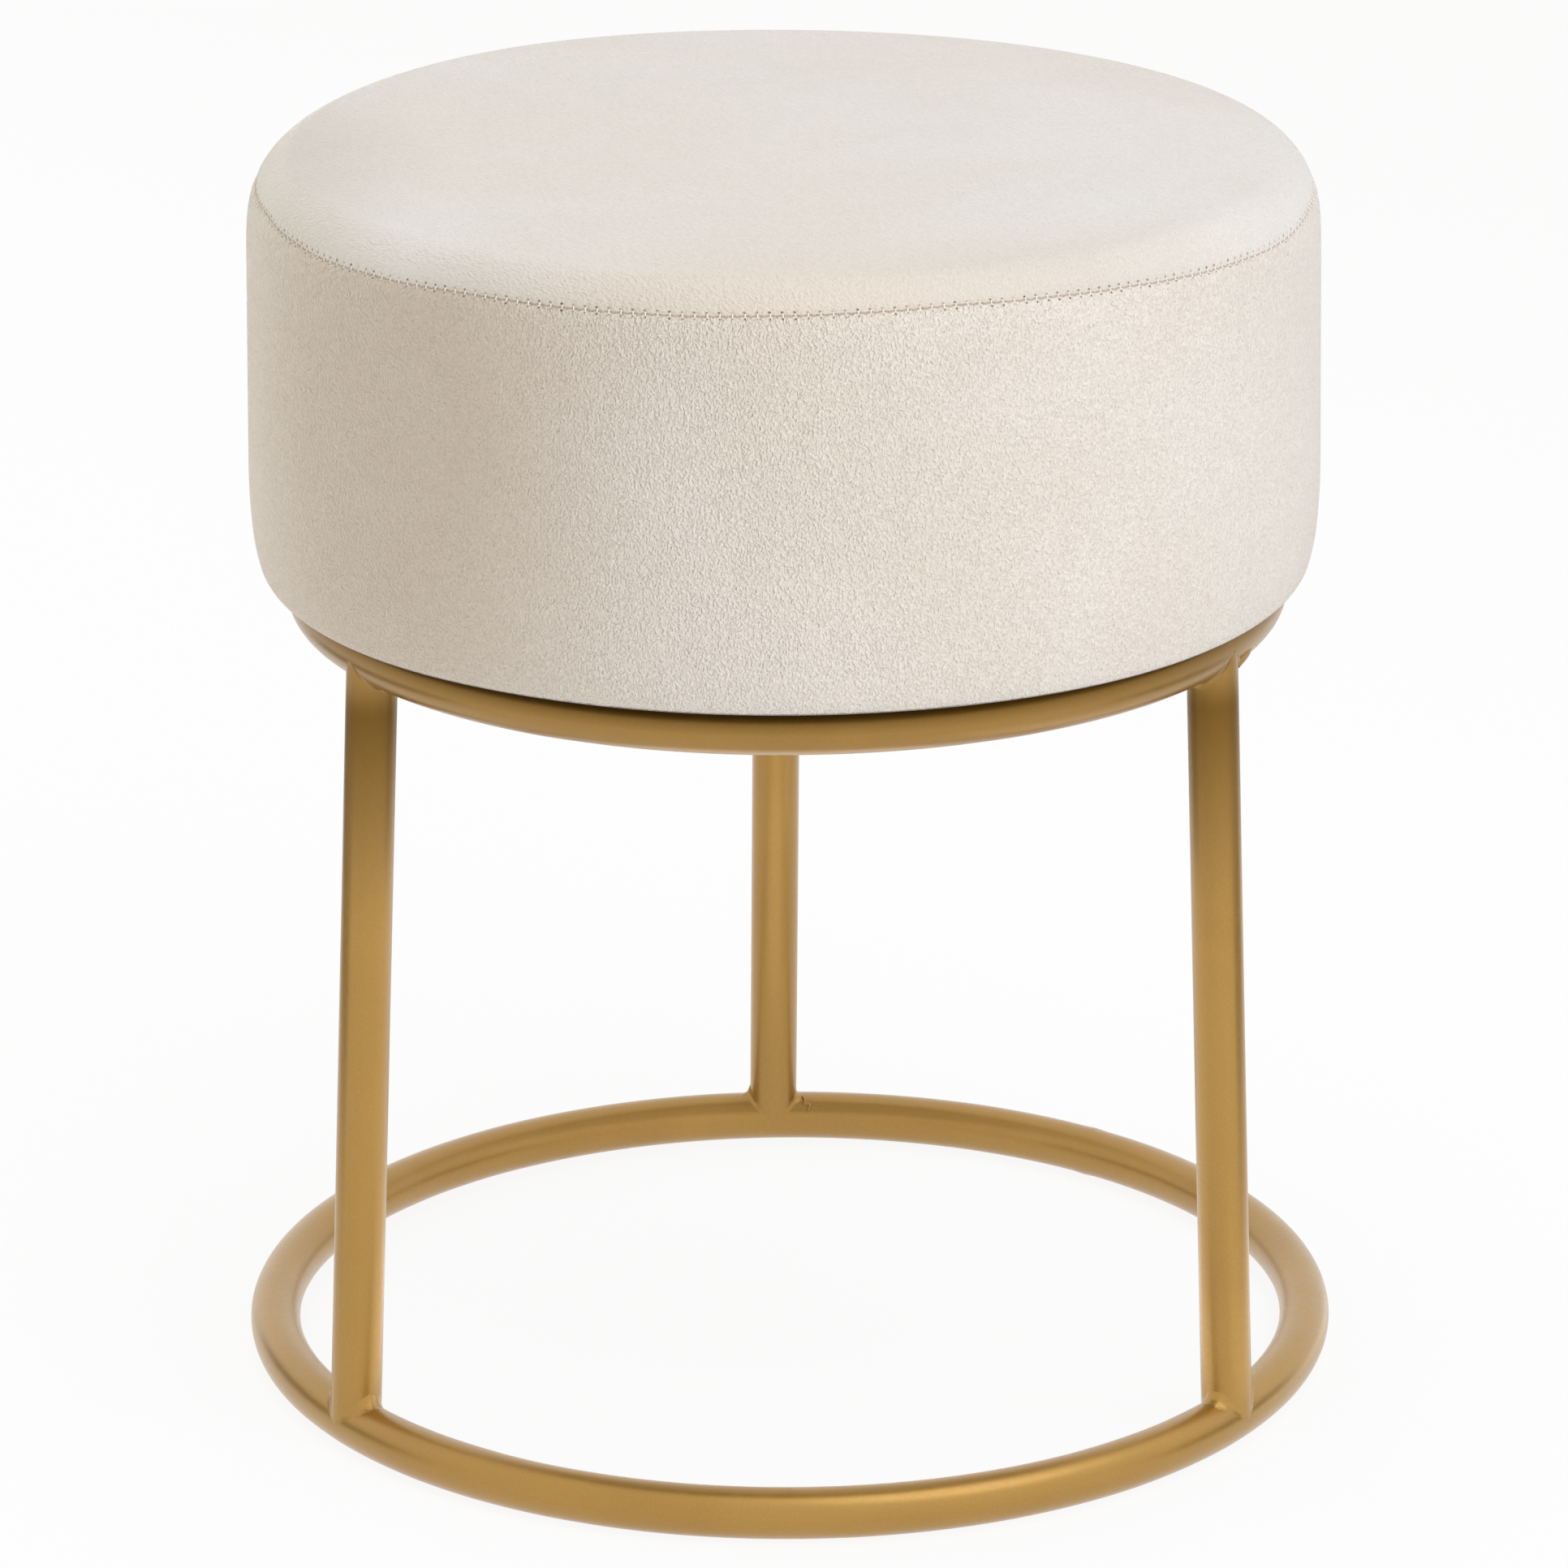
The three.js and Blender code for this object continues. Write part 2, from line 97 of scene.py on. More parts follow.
def only(piece):
    nothing_selected()
    piece.select_set(True)
    bpy.context.view_layer.objects.active = piece
    return piece


def new_piece(name):
    """The primitive that was just added, under its own name and with its place in its mesh."""
    piece = only(bpy.context.object)
    piece.name = name
    piece.data.name = name
    bpy.ops.object.transform_apply(location=True, rotation=True, scale=True)
    return piece


def placed(name, data):
    piece = bpy.data.objects.new(name, data)
    bpy.context.scene.collection.objects.link(piece)
    return piece


def drawn(name, points, edges=(), faces=()):
    skin = bpy.data.meshes.new(name)
    skin.from_pydata([tuple(p) for p in points], edges, faces)
    return placed(name, skin)


def own_copy(piece, name):
    """A copy of a piece with its own mesh."""
    copy = placed(name, piece.data.copy())
    copy.data.name = name
    return copy


def sheet(name, size, centre, turn=(0, 0, 0)):
    nothing_selected()
    bpy.ops.mesh.primitive_plane_add(size=1, location=centre, rotation=turn)
    bpy.context.object.scale = (*size, 1)
    return new_piece(name)


def cylinder(name, sides, radius, depth, centre, **settings):
    nothing_selected()
    bpy.ops.mesh.primitive_cylinder_add(
        vertices=sides, radius=radius, depth=depth, location=centre, **settings
    )
    return new_piece(name)


def opened(piece, wanted=None):
    """Puts a piece in edit mode with all of it selected, or only the wanted edges."""
    only(piece)
    bpy.ops.object.mode_set(mode="EDIT")
    bpy.ops.mesh.select_all(action="DESELECT" if wanted else "SELECT")
    if wanted:
        skin = bmesh.from_edit_mesh(piece.data)
        for edge in skin.edges:
            edge.select = wanted(edge)
        bmesh.update_edit_mesh(piece.data)


def closed():
    bpy.ops.object.mode_set(mode="OBJECT")


def apply_all(piece):
    only(piece)
    for modifier in list(piece.modifiers):
        bpy.ops.object.modifier_apply(modifier=modifier.name)
    return piece


def outward(piece):
    """Joins points that coincide and turns every face outwards."""
    opened(piece)
    bpy.ops.mesh.remove_doubles(threshold=1e-6)
    bpy.ops.mesh.normals_make_consistent(inside=False)
    closed()
    return piece


def smooth(piece, angle=None):
    only(piece)
    if angle is None:
        bpy.ops.object.shade_smooth()
    else:
        bpy.ops.object.shade_smooth_by_angle(angle=radians(angle))
    return piece


def cut(piece, cutter):
    """Takes the cutter's shape out of the piece and throws the cutter away."""
    only(piece)
    boolean = piece.modifiers.new("cut", "BOOLEAN")
    with_settings(boolean, operation="DIFFERENCE", solver="EXACT", object=cutter)
    bpy.ops.object.modifier_apply(modifier=boolean.name)
    bpy.data.objects.remove(cutter)
    return piece


def rounded(piece, width):
    bevel = piece.modifiers.new("edges", "BEVEL")
    with_settings(bevel, width=width, segments=3, limit_method="ANGLE", angle_limit=radians(40))
    return apply_all(piece)


def walled(piece, thickness, offset=-1):
    """Gives a surface a thickness, inwards unless the offset says otherwise."""
    wall = piece.modifiers.new("wall", "SOLIDIFY")
    with_settings(wall, thickness=thickness, offset=offset)
    return apply_all(piece)


def finished(piece, dress, *nodes):
    """Dresses a piece in a material, in place of the frame's nodes."""
    finish, slot = dress
    piece.data.materials.clear()
    piece.data.materials.append(finish)
    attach(piece, "root")
    if nodes:
        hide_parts(*nodes)
    return piece


def spun(name, profile, steps):
    """A drawn profile of (radius, height) points in metres, spun about the Z axis."""
    edges = [(k, k + 1) for k in range(len(profile) - 1)]
    piece = drawn(name, [(r, 0, z) for r, z in profile], edges)
    opened(piece)
    bpy.ops.mesh.spin(
        steps=steps, angle=2 * pi, center=(0, 0, 0), axis=(0, 0, 1), use_auto_merge=True
    )
    closed()
    return outward(piece)


def polar(radius, turn, height=0.0):
    return Vector((radius * cos(turn), radius * sin(turn), height))


def turn_from(turn, angle):
    """How far a turn in radians is from an angle in degrees, either way round."""
    return remainder(turn - radians(angle), 2 * pi)


# Work on materials

def set_up(made, inputs):
    """Sets a node's inputs, each to a number or to another node's output."""
    for name, value in inputs.items():
        if isinstance(value, bpy.types.NodeSocket):
            made.id_data.links.new(value, made.inputs[name])
        else:
            made.inputs[name].default_value = value


def put(kind, inputs, tree=None, **settings):
    """A new node, in the same tree as the outputs that it takes, or in the given one."""
    if tree is None:
        tree = next(v.id_data for v in inputs.values() if isinstance(v, bpy.types.NodeSocket))
    made = with_settings(tree.nodes.new(kind), **settings)
    set_up(made, inputs)
    return made


def maths(operation, *values):
    return put("ShaderNodeMath", dict(enumerate(values)), operation=operation).outputs[0]


def vector_maths(operation, *values):
    return put("ShaderNodeVectorMath", dict(enumerate(values)), operation=operation).outputs


def ranged(value, low, high, start=0.0, end=1.0):
    inputs = {0: value, 1: low, 2: high, 3: start, 4: end}
    return put("ShaderNodeMapRange", inputs, interpolation_type="SMOOTHSTEP").outputs["Result"]


def mixed(factor, first, second):
    return put("ShaderNodeMix", {0: factor, 6: first, 7: second}, data_type="RGBA").outputs[2]


def tinted(tone, mask, strength, colour):
    """The tone with a colour over it where the mask is, at most as strong as it says."""
    return mixed(maths("MULTIPLY", mask, strength), tone, colour)


def group(name, inputs, outputs):
    """A node group. Its inputs and outputs are numbers, but for the vectors named here."""
    tree = bpy.data.node_groups.new(name, "ShaderNodeTree")
    for way, labels in (("INPUT", inputs), ("OUTPUT", outputs)):
        for label in labels:
            kind = "Vector" if label in ("Vector", "Stretch") else "Float"
            tree.interface.new_socket(label, in_out=way, socket_type="NodeSocket" + kind)
    given = tree.nodes.new("NodeGroupInput").outputs
    taken = tree.nodes.new("NodeGroupOutput").inputs
    return tree, given, taken


def material(name):
    made = bpy.data.materials.new(name)
    made.use_nodes = True
    shader = made.node_tree.nodes["Principled BSDF"]
    place = made.node_tree.nodes.new("ShaderNodeTexCoord").outputs["Object"]
    return made, shader, place


def bumped(height, distance, strength=1.0, normal=None):
    inputs = {"Height": height, "Distance": distance, "Strength": strength}
    if normal:
        inputs["Normal"] = normal
    return put("ShaderNodeBump", inputs).outputs["Normal"]


def patches_group():
    """Soft-edged patches, for colour that drifts over a surface."""
    tree, given, taken = group("drifting_patches", ["Vector", "Scale", "Edge"], ["Mask"])
    cloud = put("ShaderNodeTexNoise", {
        "Vector": given["Vector"], "Scale": given["Scale"],
        "Detail": 3.0, "Roughness": 0.5, "Distortion": 0.7,
    })
    low = maths("SUBTRACT", 0.5, given["Edge"])
    high = maths("ADD", 0.5, given["Edge"])
    tree.links.new(ranged(cloud.outputs["Fac"], low, high), taken["Mask"])
    return tree


def grain_group():
    """Fine grain, drawn out by how little each axis is scaled."""
    labels = ["Vector", "Stretch", "Scale", "Detail"]
    tree, given, taken = group("drawn_out_grain", labels, ["Height"])
    place = vector_maths("MULTIPLY", given["Vector"], given["Stretch"])[0]
    cloud = put("ShaderNodeTexNoise", {
        "Vector": place, "Scale": given["Scale"], "Detail": given["Detail"],
        "Roughness": 0.6, "Distortion": 0.25,
    })
    tree.links.new(cloud.outputs["Fac"], taken["Height"])
    return tree


def stitch_group():
    """Needle holes and puckers beside the seam, from the place round it and across it."""
    labels = ["Holes", "Puckers", "Line"]
    tree, given, taken = group("seam_stitches", ["Vector", "Across"], labels)
    place = put("ShaderNodeSeparateXYZ", {0: given["Vector"]}).outputs
    turn = maths("ARCTAN2", place["Y"], place["X"])
    count = maths("MULTIPLY", turn, STITCHES / (2 * pi))
    number = maths("ROUND", count)
    off = maths("SUBTRACT", count, number)
    pitch = 2 * pi * SEAM_RADIUS / STITCHES

    # A needle hole at every stitch, on both sides. Above the seam it is longer and off centre
    beside_seam, to_one_side, longer = 1.0, 0.3, 0.4
    hole_middle, hole_edge = 0.1, 0.4
    above = maths("GREATER_THAN", given["Across"], 0.0)
    along = maths("MULTIPLY_ADD", off, pitch, maths("MULTIPLY", above, to_one_side))
    along = maths("DIVIDE", along, maths("MULTIPLY_ADD", above, longer, 1.0))
    away = maths("ABSOLUTE", given["Across"])
    beside = maths("SUBTRACT", away, beside_seam)
    reach = maths("SQRT", maths("ADD", maths("POWER", along, 2.0), maths("POWER", beside, 2.0)))
    lot = put("ShaderNodeTexWhiteNoise", {"W": number}, noise_dimensions="1D")
    deep = maths("MULTIPLY_ADD", lot.outputs["Value"], 0.7, 0.3)
    hole = ranged(reach, hole_middle, hole_edge, 1.0, 0.0)
    tree.links.new(maths("MULTIPLY", hole, deep), taken["Holes"])

    # The cloth puckers at each stitch, and less further from the seam
    pucker_from, pucker_to = 0.6, 4.0
    wave = maths("COSINE", maths("MULTIPLY", count, 2 * pi))
    fade = ranged(away, pucker_from, pucker_to, 1.0, 0.0)
    tree.links.new(maths("MULTIPLY", wave, fade), taken["Puckers"])

    # The seam's dark line, painted shade in its groove, sags a little between stitches
    sag, line_middle, line_edge = 1.5, 0.08, 0.5
    sagging = maths("MULTIPLY_ADD", maths("MULTIPLY", off, off), sag, given["Across"])
    from_line = maths("ABSOLUTE", sagging)
    tree.links.new(ranged(from_line, line_middle, line_edge, 1.0, 0.0), taken["Line"])
    return tree


PATCHES = patches_group()
GRAIN = grain_group()
STITCH = stitch_group()


def use(made, **inputs):
    named = {name.replace("_", " "): value for name, value in inputs.items()}
    return put("ShaderNodeGroup", named, node_tree=made).outputs


def patches(place, scale, edge=0.15):
    return use(PATCHES, Vector=place, Scale=scale, Edge=edge)["Mask"]


def grain(place, scale, stretch=(1, 1, 1), detail=2.0):
    outputs = use(GRAIN, Vector=place, Stretch=stretch, Scale=scale, Detail=detail)
    return outputs["Height"]


def gold_powder_coat():
    """Gold powder under a clear coat. Close under the seat, on the legs' tops and on the seat
    ring's upper side, the gold is painted darker and browner with less coat, as painted shade."""
    leg_from, leg_to, bead_from, bead_to = 165 * MM, 262 * MM, 238 * MM, 252 * MM
    ring_from, ring_to = 252.5 * MM, 262.5 * MM
    made, shader, place = material("gold_powder_coat")
    drift = patches(place, 14.0, 0.2)
    flakes = grain(place, 3800.0, detail=0.0)
    peel = grain(place, 620.0)
    waves = grain(place, 70.0, detail=1.0)
    height = put("ShaderNodeSeparateXYZ", {0: place}).outputs["Z"]
    # Painted shade: darker, browner gold up the legs' tops and on the seat ring's upper side
    leg_top_shade = maths("MULTIPLY", ranged(height, leg_from, leg_to, 0.0, 0.9),
                     ranged(height, bead_from, bead_to, 1.0, 0.25))
    under_seat_shade = maths("MAXIMUM", leg_top_shade, ranged(height, ring_from, ring_to, 0.0, 0.8))
    tone = mixed(drift, (0.385, 0.205, 0.026, 1), (0.425, 0.232, 0.034, 1))
    tone = mixed(ranged(flakes, 0.55, 0.75, 0.0, 0.35), tone, (0.55, 0.34, 0.09, 1))
    tone = mixed(under_seat_shade, tone, (0.12, 0.055, 0.002, 1))
    soft = bumped(waves, 0.12 * MM)
    set_up(shader, {
        "Base Color": tone,
        "Metallic": 0.75,
        "Roughness": ranged(peel, 0.3, 0.7, 0.34, 0.42),
        # Less coat where the shade is painted, so no white reflection shows there
        "Coat Weight": ranged(under_seat_shade, 0.0, 0.9, 0.9, 0.1),
        "Coat Roughness": 0.3,
        "Normal": bumped(peel, 0.012 * MM, 0.8, soft),
    })
    return made


def cream_velvet(name, nap, turn, pits, depth, shade, light, shaded_places):
    """Short-pile velvet. The nap is how the pile's grain is drawn out, after a turn about Z. The
    pits and the depth in millimetres say how strongly it shows. Places of painted shade,
    (middle, reach, strength, colour), are painted darker and warmer."""
    rim_shade_from, rim_shade_to = -123.8, -122.9  # from the seam, where the rim's underside is painted dark as painted shade
    made, shader, place = material(name)
    turned = put("ShaderNodeMapping", {"Vector": place, "Rotation": (0, 0, turn)}).outputs[0]
    strokes = patches(place, 7.0, 0.12)
    crush = patches(place, 34.0, 0.25)
    pebbles = grain(turned, 1250.0, nap, 1.0)
    tufts = grain(turned, 520.0, nap)
    seam = put("ShaderNodeAttribute", {}, made.node_tree, attribute_name="from_seam")
    across = seam.outputs["Fac"]
    stitches = use(STITCH, Vector=place, Across=across)
    tone = mixed(strokes, shade, light)
    tone = tinted(tone, patches(place, 11.0, 0.2), 0.2, (0.75, 0.677, 0.572, 1))
    # Painted shade: each of these places is painted darker and warmer
    for middle, reach, strength, colour in shaded_places:
        apart = vector_maths("SUBTRACT", place, middle)[0]
        apart = vector_maths("DIVIDE", apart, reach)[0]
        apart = vector_maths("LENGTH", apart)["Value"]
        tone = mixed(ranged(apart, 0.25, 1.0, strength, 0.0), tone, colour)
    tone = tinted(tone, crush, 0.18, (0.706, 0.662, 0.598, 1))
    tone = mixed(ranged(pebbles, 0.35, 0.65, pits, 0.0), tone, (0.50, 0.42, 0.32, 1))
    # Painted shade: a dark, ragged line under the rim, where the cloth meets the ring
    fringe = maths("MULTIPLY_ADD", tufts, 1.6, across)
    rim_underside_shade = ranged(fringe, rim_shade_from, rim_shade_to, 0.85, 0.0)
    tone = mixed(rim_underside_shade, tone, (0.10, 0.07, 0.05, 1))
    # Painted shade: the seam's groove line and the needle holes are painted dark
    tone = tinted(tone, stitches["Line"], 0.65, (0.40, 0.27, 0.17, 1))
    tone = tinted(tone, stitches["Holes"], 0.9, (0.19, 0.10, 0.05, 1))
    holes = maths("MULTIPLY_ADD", stitches["Puckers"], -0.12,
                  maths("MULTIPLY", stitches["Holes"], -1.0))
    pulled = bumped(holes, 0.5 * MM)
    combed = bumped(tufts, 0.14 * MM, 0.5, pulled)
    set_up(shader, {
        "Base Color": tone,
        "Roughness": 0.9,
        "Specular IOR Level": 0.15,
        "Sheen Weight": 0.65,
        "Sheen Roughness": 0.42,
        "Sheen Tint": (1.0, 0.985, 0.96, 1),
        "Normal": bumped(pebbles, depth * MM, 1.0, combed),
    })
    return made


def cotton_thread():
    made, shader, place = material("cotton_thread")
    twist = grain(place, 2600.0, (1, 1, 2.5), 1.0)
    tone = mixed(ranged(twist, 0.3, 0.7), (0.80, 0.72, 0.60, 1), (0.95, 0.90, 0.82, 1))
    set_up(shader, {
        "Base Color": tone, "Roughness": 0.6, "Sheen Weight": 0.3,
        "Normal": bumped(twist, 0.05 * MM),
    })
    return made


def seat_foam():
    made, shader, place = material("seat_foam")
    cells = put("ShaderNodeTexVoronoi", {"Vector": place, "Scale": 900.0}).outputs["Distance"]
    open_cells = ranged(cells, 0.1, 0.6)
    tone = mixed(open_cells, (0.62, 0.52, 0.28, 1), (0.86, 0.78, 0.52, 1))
    tone = tinted(tone, patches(place, 18.0), 0.2, (0.9, 0.8, 0.5, 1))
    set_up(shader, {
        "Base Color": tone, "Roughness": 0.95,
        "Normal": bumped(open_cells, 0.3 * MM, 0.7),
    })
    return made


def birch_plywood():
    made, shader, place = material("birch_plywood")
    thickness, glue_from, glue_to = 1.35 * MM, 0.55 * MM, 0.8 * MM
    height = put("ShaderNodeSeparateXYZ", {0: place}).outputs["Z"]
    plies = ranged(maths("PINGPONG", height, thickness), glue_from, glue_to)
    fibres = grain(place, 55.0, (1.0, 14.0, 14.0), 4.0)
    tone = mixed(ranged(fibres, 0.3, 0.7), (0.55, 0.38, 0.20, 1), (0.76, 0.60, 0.38, 1))
    tone = tinted(tone, plies, 0.45, (0.36, 0.21, 0.10, 1))
    set_up(shader, {
        "Base Color": tone, "Roughness": ranged(fibres, 0.3, 0.7, 0.65, 0.82),
        "Normal": bumped(fibres, 0.15 * MM, 0.5),
    })
    return made


def black_felt():
    made, shader, place = material("black_felt")
    fibres = grain(place, 900.0, (1.0, 0.35, 1.0), 4.0)
    dots = put("ShaderNodeTexVoronoi", {"Vector": place, "Scale": 620.0, "Randomness": 0.15})
    pressed = ranged(dots.outputs["Distance"], 0.12, 0.3)
    matted = ranged(fibres, 0.35, 0.7)
    tone = mixed(matted, (0.011, 0.011, 0.013, 1), (0.05, 0.05, 0.055, 1))
    tone = mixed(patches(place, 20.0), tone, (0.03, 0.03, 0.033, 1))
    set_up(shader, {
        "Base Color": tone, "Roughness": 0.9, "Sheen Weight": 0.25, "Sheen Roughness": 0.5,
        "Normal": bumped(pressed, 0.12 * MM, 0.6, bumped(fibres, 0.1 * MM, 0.5)),
    })
    return made


def zinc_plate():
    made, shader, place = material("zinc_plate")
    spangle = patches(place, 260.0, 0.2)
    scratches = grain(place, 900.0, (1.0, 0.15, 0.15), 3.0)
    tone = mixed(spangle, (0.50, 0.52, 0.55, 1), (0.66, 0.67, 0.68, 1))
    tone = tinted(tone, patches(place, 90.0), 0.25, (0.60, 0.56, 0.44, 1))
    set_up(shader, {
        "Base Color": tone, "Metallic": 1.0,
        "Roughness": ranged(scratches, 0.3, 0.7, 0.26, 0.42),
        "Normal": bumped(scratches, 0.02 * MM, 0.6),
    })
    return made


# Each material with the name of its slot
GOLD = gold_powder_coat(), "gold_powder_coat"
# Painted light: the top's tones are cooler than the side's; its three places are painted shade
VELVET_TOP = cream_velvet(
    "cream_velvet_top", (1.0, 0.45, 1.0), radians(-35), 0.13, 0.5,
    (0.702, 0.681, 0.621, 1), (0.730, 0.723, 0.677, 1),
    (
        ((-0.01, -0.20, 0.385), (0.24, 0.105, 0.06), 0.9, (0.715, 0.643, 0.542, 1)),
        ((-0.172, -0.03, 0.385), (0.075, 0.15, 0.08), 0.85, (0.565, 0.535, 0.465, 1)),
        ((0.12, -0.15, 0.38), (0.13, 0.08, 0.04), 0.55, (0.60, 0.545, 0.46, 1)),
    ),
), "cream_velvet"
# Painted shade: the side's place at the front left is painted darker and warmer
VELVET_SIDE = cream_velvet(
    "cream_velvet_side", (1.0, 1.0, 0.8), 0.0, 0.24, 1.15,
    (0.775, 0.718, 0.624, 1), (0.806, 0.759, 0.678, 1),
    (((-0.122, -0.118, 0.34), (0.11, 0.11, 0.16), 0.9, (0.63, 0.55, 0.44, 1)),),
), "cream_velvet"
THREAD = cotton_thread(), "cream_velvet"
FOAM = seat_foam(), "foam"
FELT = black_felt(), "black_felt"
ZINC = zinc_plate(), "zinc_plated_steel"
PLYWOOD = birch_plywood()


# The frame

def ring_spot(ring, point):
    """The nearest point on a ring's centre line."""
    return polar(ring[0], atan2(point.y, point.x), ring[1])


def leg_ends(angles):
    """Where a leg's axis meets the rings' centre lines."""
    foot, head = (radians(angle) for angle in angles)
    return polar(BASE_RING[0], foot, BASE_RING[1]), polar(SEAT_RING[0], head, SEAT_RING[1])


def ring_solid(name, ring, radius):
    nothing_selected()
    bpy.ops.mesh.primitive_torus_add(
        location=(0, 0, ring[1]), major_radius=ring[0], minor_radius=radius,
        major_segments=RING_COLUMNS, minor_segments=TUBE_SIDES,
    )
    return new_piece(name)


def tube_ring(name, ring, joint_angle):
    """Rolled tube, closed by a butt weld that was ground nearly flush."""
    proud, half_width, waves = 0.22, 2.4, 0.05  # in millimetres
    tube = ring_solid(name, ring, TUBE_RADIUS)
    for vertex in tube.data.vertices:
        centre = ring_spot(ring, vertex.co)
        out = vertex.co - centre
        apart = turn_from(atan2(vertex.co.y, vertex.co.x), joint_angle) * ring[0] / MM
        rise = proud * exp(-((apart / half_width) ** 2)) + waves * noise.noise(vertex.co * 60)
        vertex.co = centre + out * (1 + rise * MM / TUBE_RADIUS)
    return smooth(tube)


def leg_tube(place, angles):
    """A straight tube whose ends are coped round both rings."""
    foot, head = leg_ends(angles)
    axis = head - foot
    tube = cylinder(
        f"leg_tube_{place}", 72, TUBE_RADIUS, axis.length, (foot + head) / 2,
        end_fill_type="NOTHING", rotation=axis.to_track_quat("Z", "Y").to_euler(),
    )
    walled(tube, TUBE_WALL)
    for ring in (BASE_RING, SEAT_RING):
        cut(tube, ring_solid("cope", ring, TUBE_RADIUS + 0.02 * MM))
    return smooth(tube, 35)


def weld(name, ring, joint, away, size, lumps):
    """The coated weld between a leg and a ring: a hollow fillet that a ball of the given size
    would leave, with lumps of (degrees round the leg, half width, height, fullness)."""
    across = away.cross(Vector((-joint.y, joint.x, 0))).normalized()
    along = across.cross(away)
    steps, bends = 120, 9  # sections round the leg, and points across each
    least, unevenness, roughness = 0.4, 0.35, 0.10
    over_leg, into_leg, over_ring, into_ring, root_depth = 0.6, 0.06, 0.5, 0.12, 1.0

    def ball(out, reach):
        """How far from the joint the ball rests against both tubes, found by halving."""
        low, high = 0.0, 3 * (TUBE_RADIUS + reach)
        for _ in range(40):
            rise = (low + high) / 2
            centre = joint + away * rise + out * (TUBE_RADIUS + reach)
            apart = (centre - ring_spot(ring, centre)).length
            low, high = (low, rise) if apart > TUBE_RADIUS + reach else (rise, high)
        return high

    sections = []
    for k in range(steps):
        turn = 2 * pi * k / steps
        out = along * cos(turn) + across * sin(turn)
        swell, fullness = 0.0, 0.0
        for at, half, height, full in lumps:
            share = exp(-((turn_from(turn, at) / radians(half)) ** 2))
            swell += height * share
            fullness += full * share
        ripple = noise.noise(joint * 90 + Vector((cos(turn), sin(turn), 0)) * 2.6)
        reach = max(least, size * (1 + unevenness * ripple) + swell) * MM
        rise = ball(out, reach)
        centre = joint + away * rise + out * (TUBE_RADIUS + reach)
        leg_toe = joint + away * rise + out * TUBE_RADIUS
        spot = ring_spot(ring, centre)
        sunk = (centre - spot).normalized()
        ring_toe = spot + sunk * TUBE_RADIUS
        toes = [(toe - centre).normalized() for toe in (leg_toe, ring_toe)]
        apart = toes[0].angle(toes[1])
        section = [leg_toe + away * over_leg * MM - out * into_leg * MM]
        for b in range(bends):
            share = b / (bends - 1)
            ray = toes[0].slerp(toes[1], share) if apart > 1e-4 else toes[0]
            arch = sin(pi * share)
            rough = roughness * noise.noise((centre + ray * reach) * 900) * arch
            inward = -0.03 * (1 - arch)
            lift = (fullness * arch * (reach / MM) + rough + inward) * MM
            section.append(centre + ray * (reach - lift))
        onward = (ring_toe - leg_toe).normalized()
        section.append(ring_toe + onward * over_ring * MM - sunk * into_ring * MM)
        root = (leg_toe + ring_toe) / 2
        section.append(root - (centre - root).normalized() * root_depth * MM)
        sections.append(section)

    count = len(sections[0])
    faces = []
    for k in range(steps):
        here, there = k * count, ((k + 1) % steps) * count
        for side in range(count):
            other = (side + 1) % count
            faces.append((here + side, there + side, there + other, here + other))
    bead = drawn(name, [p for section in sections for p in section], (), faces)
    return smooth(outward(bead), 60)


# The ball's size in millimetres and the lumps, at each leg's foot and head
WELDS = {
    "front_left": ((3.8, [(20, 30, -0.9, 0.0), (170, 40, 0.6, 0.0)]),
                   (2.9, [(163, 18, 0.9, 0.35), (130, 9, -2.0, 0.0), (-8, 30, -1.7, 0.0)])),
    "front_right": ((3.7, [(128, 30, -2.3, 0.0), (0, 40, 0.6, 0.0)]), (2.6, [(40, 30, 1.0, 0.2)])),
    "rear": ((2.5, [(0, 26, 0.7, 0.0), (180, 30, -1.1, 0.0)]), (2.0, [(90, 30, 0.6, 0.1)])),
}

finished(tube_ring("base_ring_tube", BASE_RING, 52), GOLD, "base_ring")
finished(tube_ring("seat_ring_tube", SEAT_RING, 132), GOLD, "seat_ring")
for place, angles in LEG_ANGLES.items():
    finished(leg_tube(place, angles), GOLD, f"leg_{place}")
    foot, head = leg_ends(angles)
    up = (head - foot).normalized()
    ends = ("foot", BASE_RING, foot, up), ("head", SEAT_RING, head, -up)
    for (end, ring, joint, away), (size, lumps) in zip(ends, WELDS[place]):
        bead = weld(f"{end}_bead_{place}", ring, joint, away, size, lumps)
        finished(bead, GOLD, f"{end}_weld_{place}")


# Weld that ran and froze beside a leg: along a ring, (degrees from +X, degrees round the tube,
# millimetres from its centre line, thickness in millimetres)
DRIPS = {
    "rear_foot": (BASE_RING, [
        (88.4, 108, 8.0, 0.45), (88.0, 121, 8.0, 0.6), (88.3, 133, 8.0, 0.5),
        (87.65, 129, 8.0, 0.55), (87.4, 139, 8.0, 0.6), (87.8, 152, 8.0, 0.4)]),
    "right_head": (SEAT_RING, [
        (-28.0, -42, 8.8, 1.1), (-27.0, -37, 8.0, 1.6), (-25.5, -31, 7.3, 1.8),
        (-24.1, -25, 6.8, 1.4), (-22.9, -21, 6.5, 0.6)]),
}


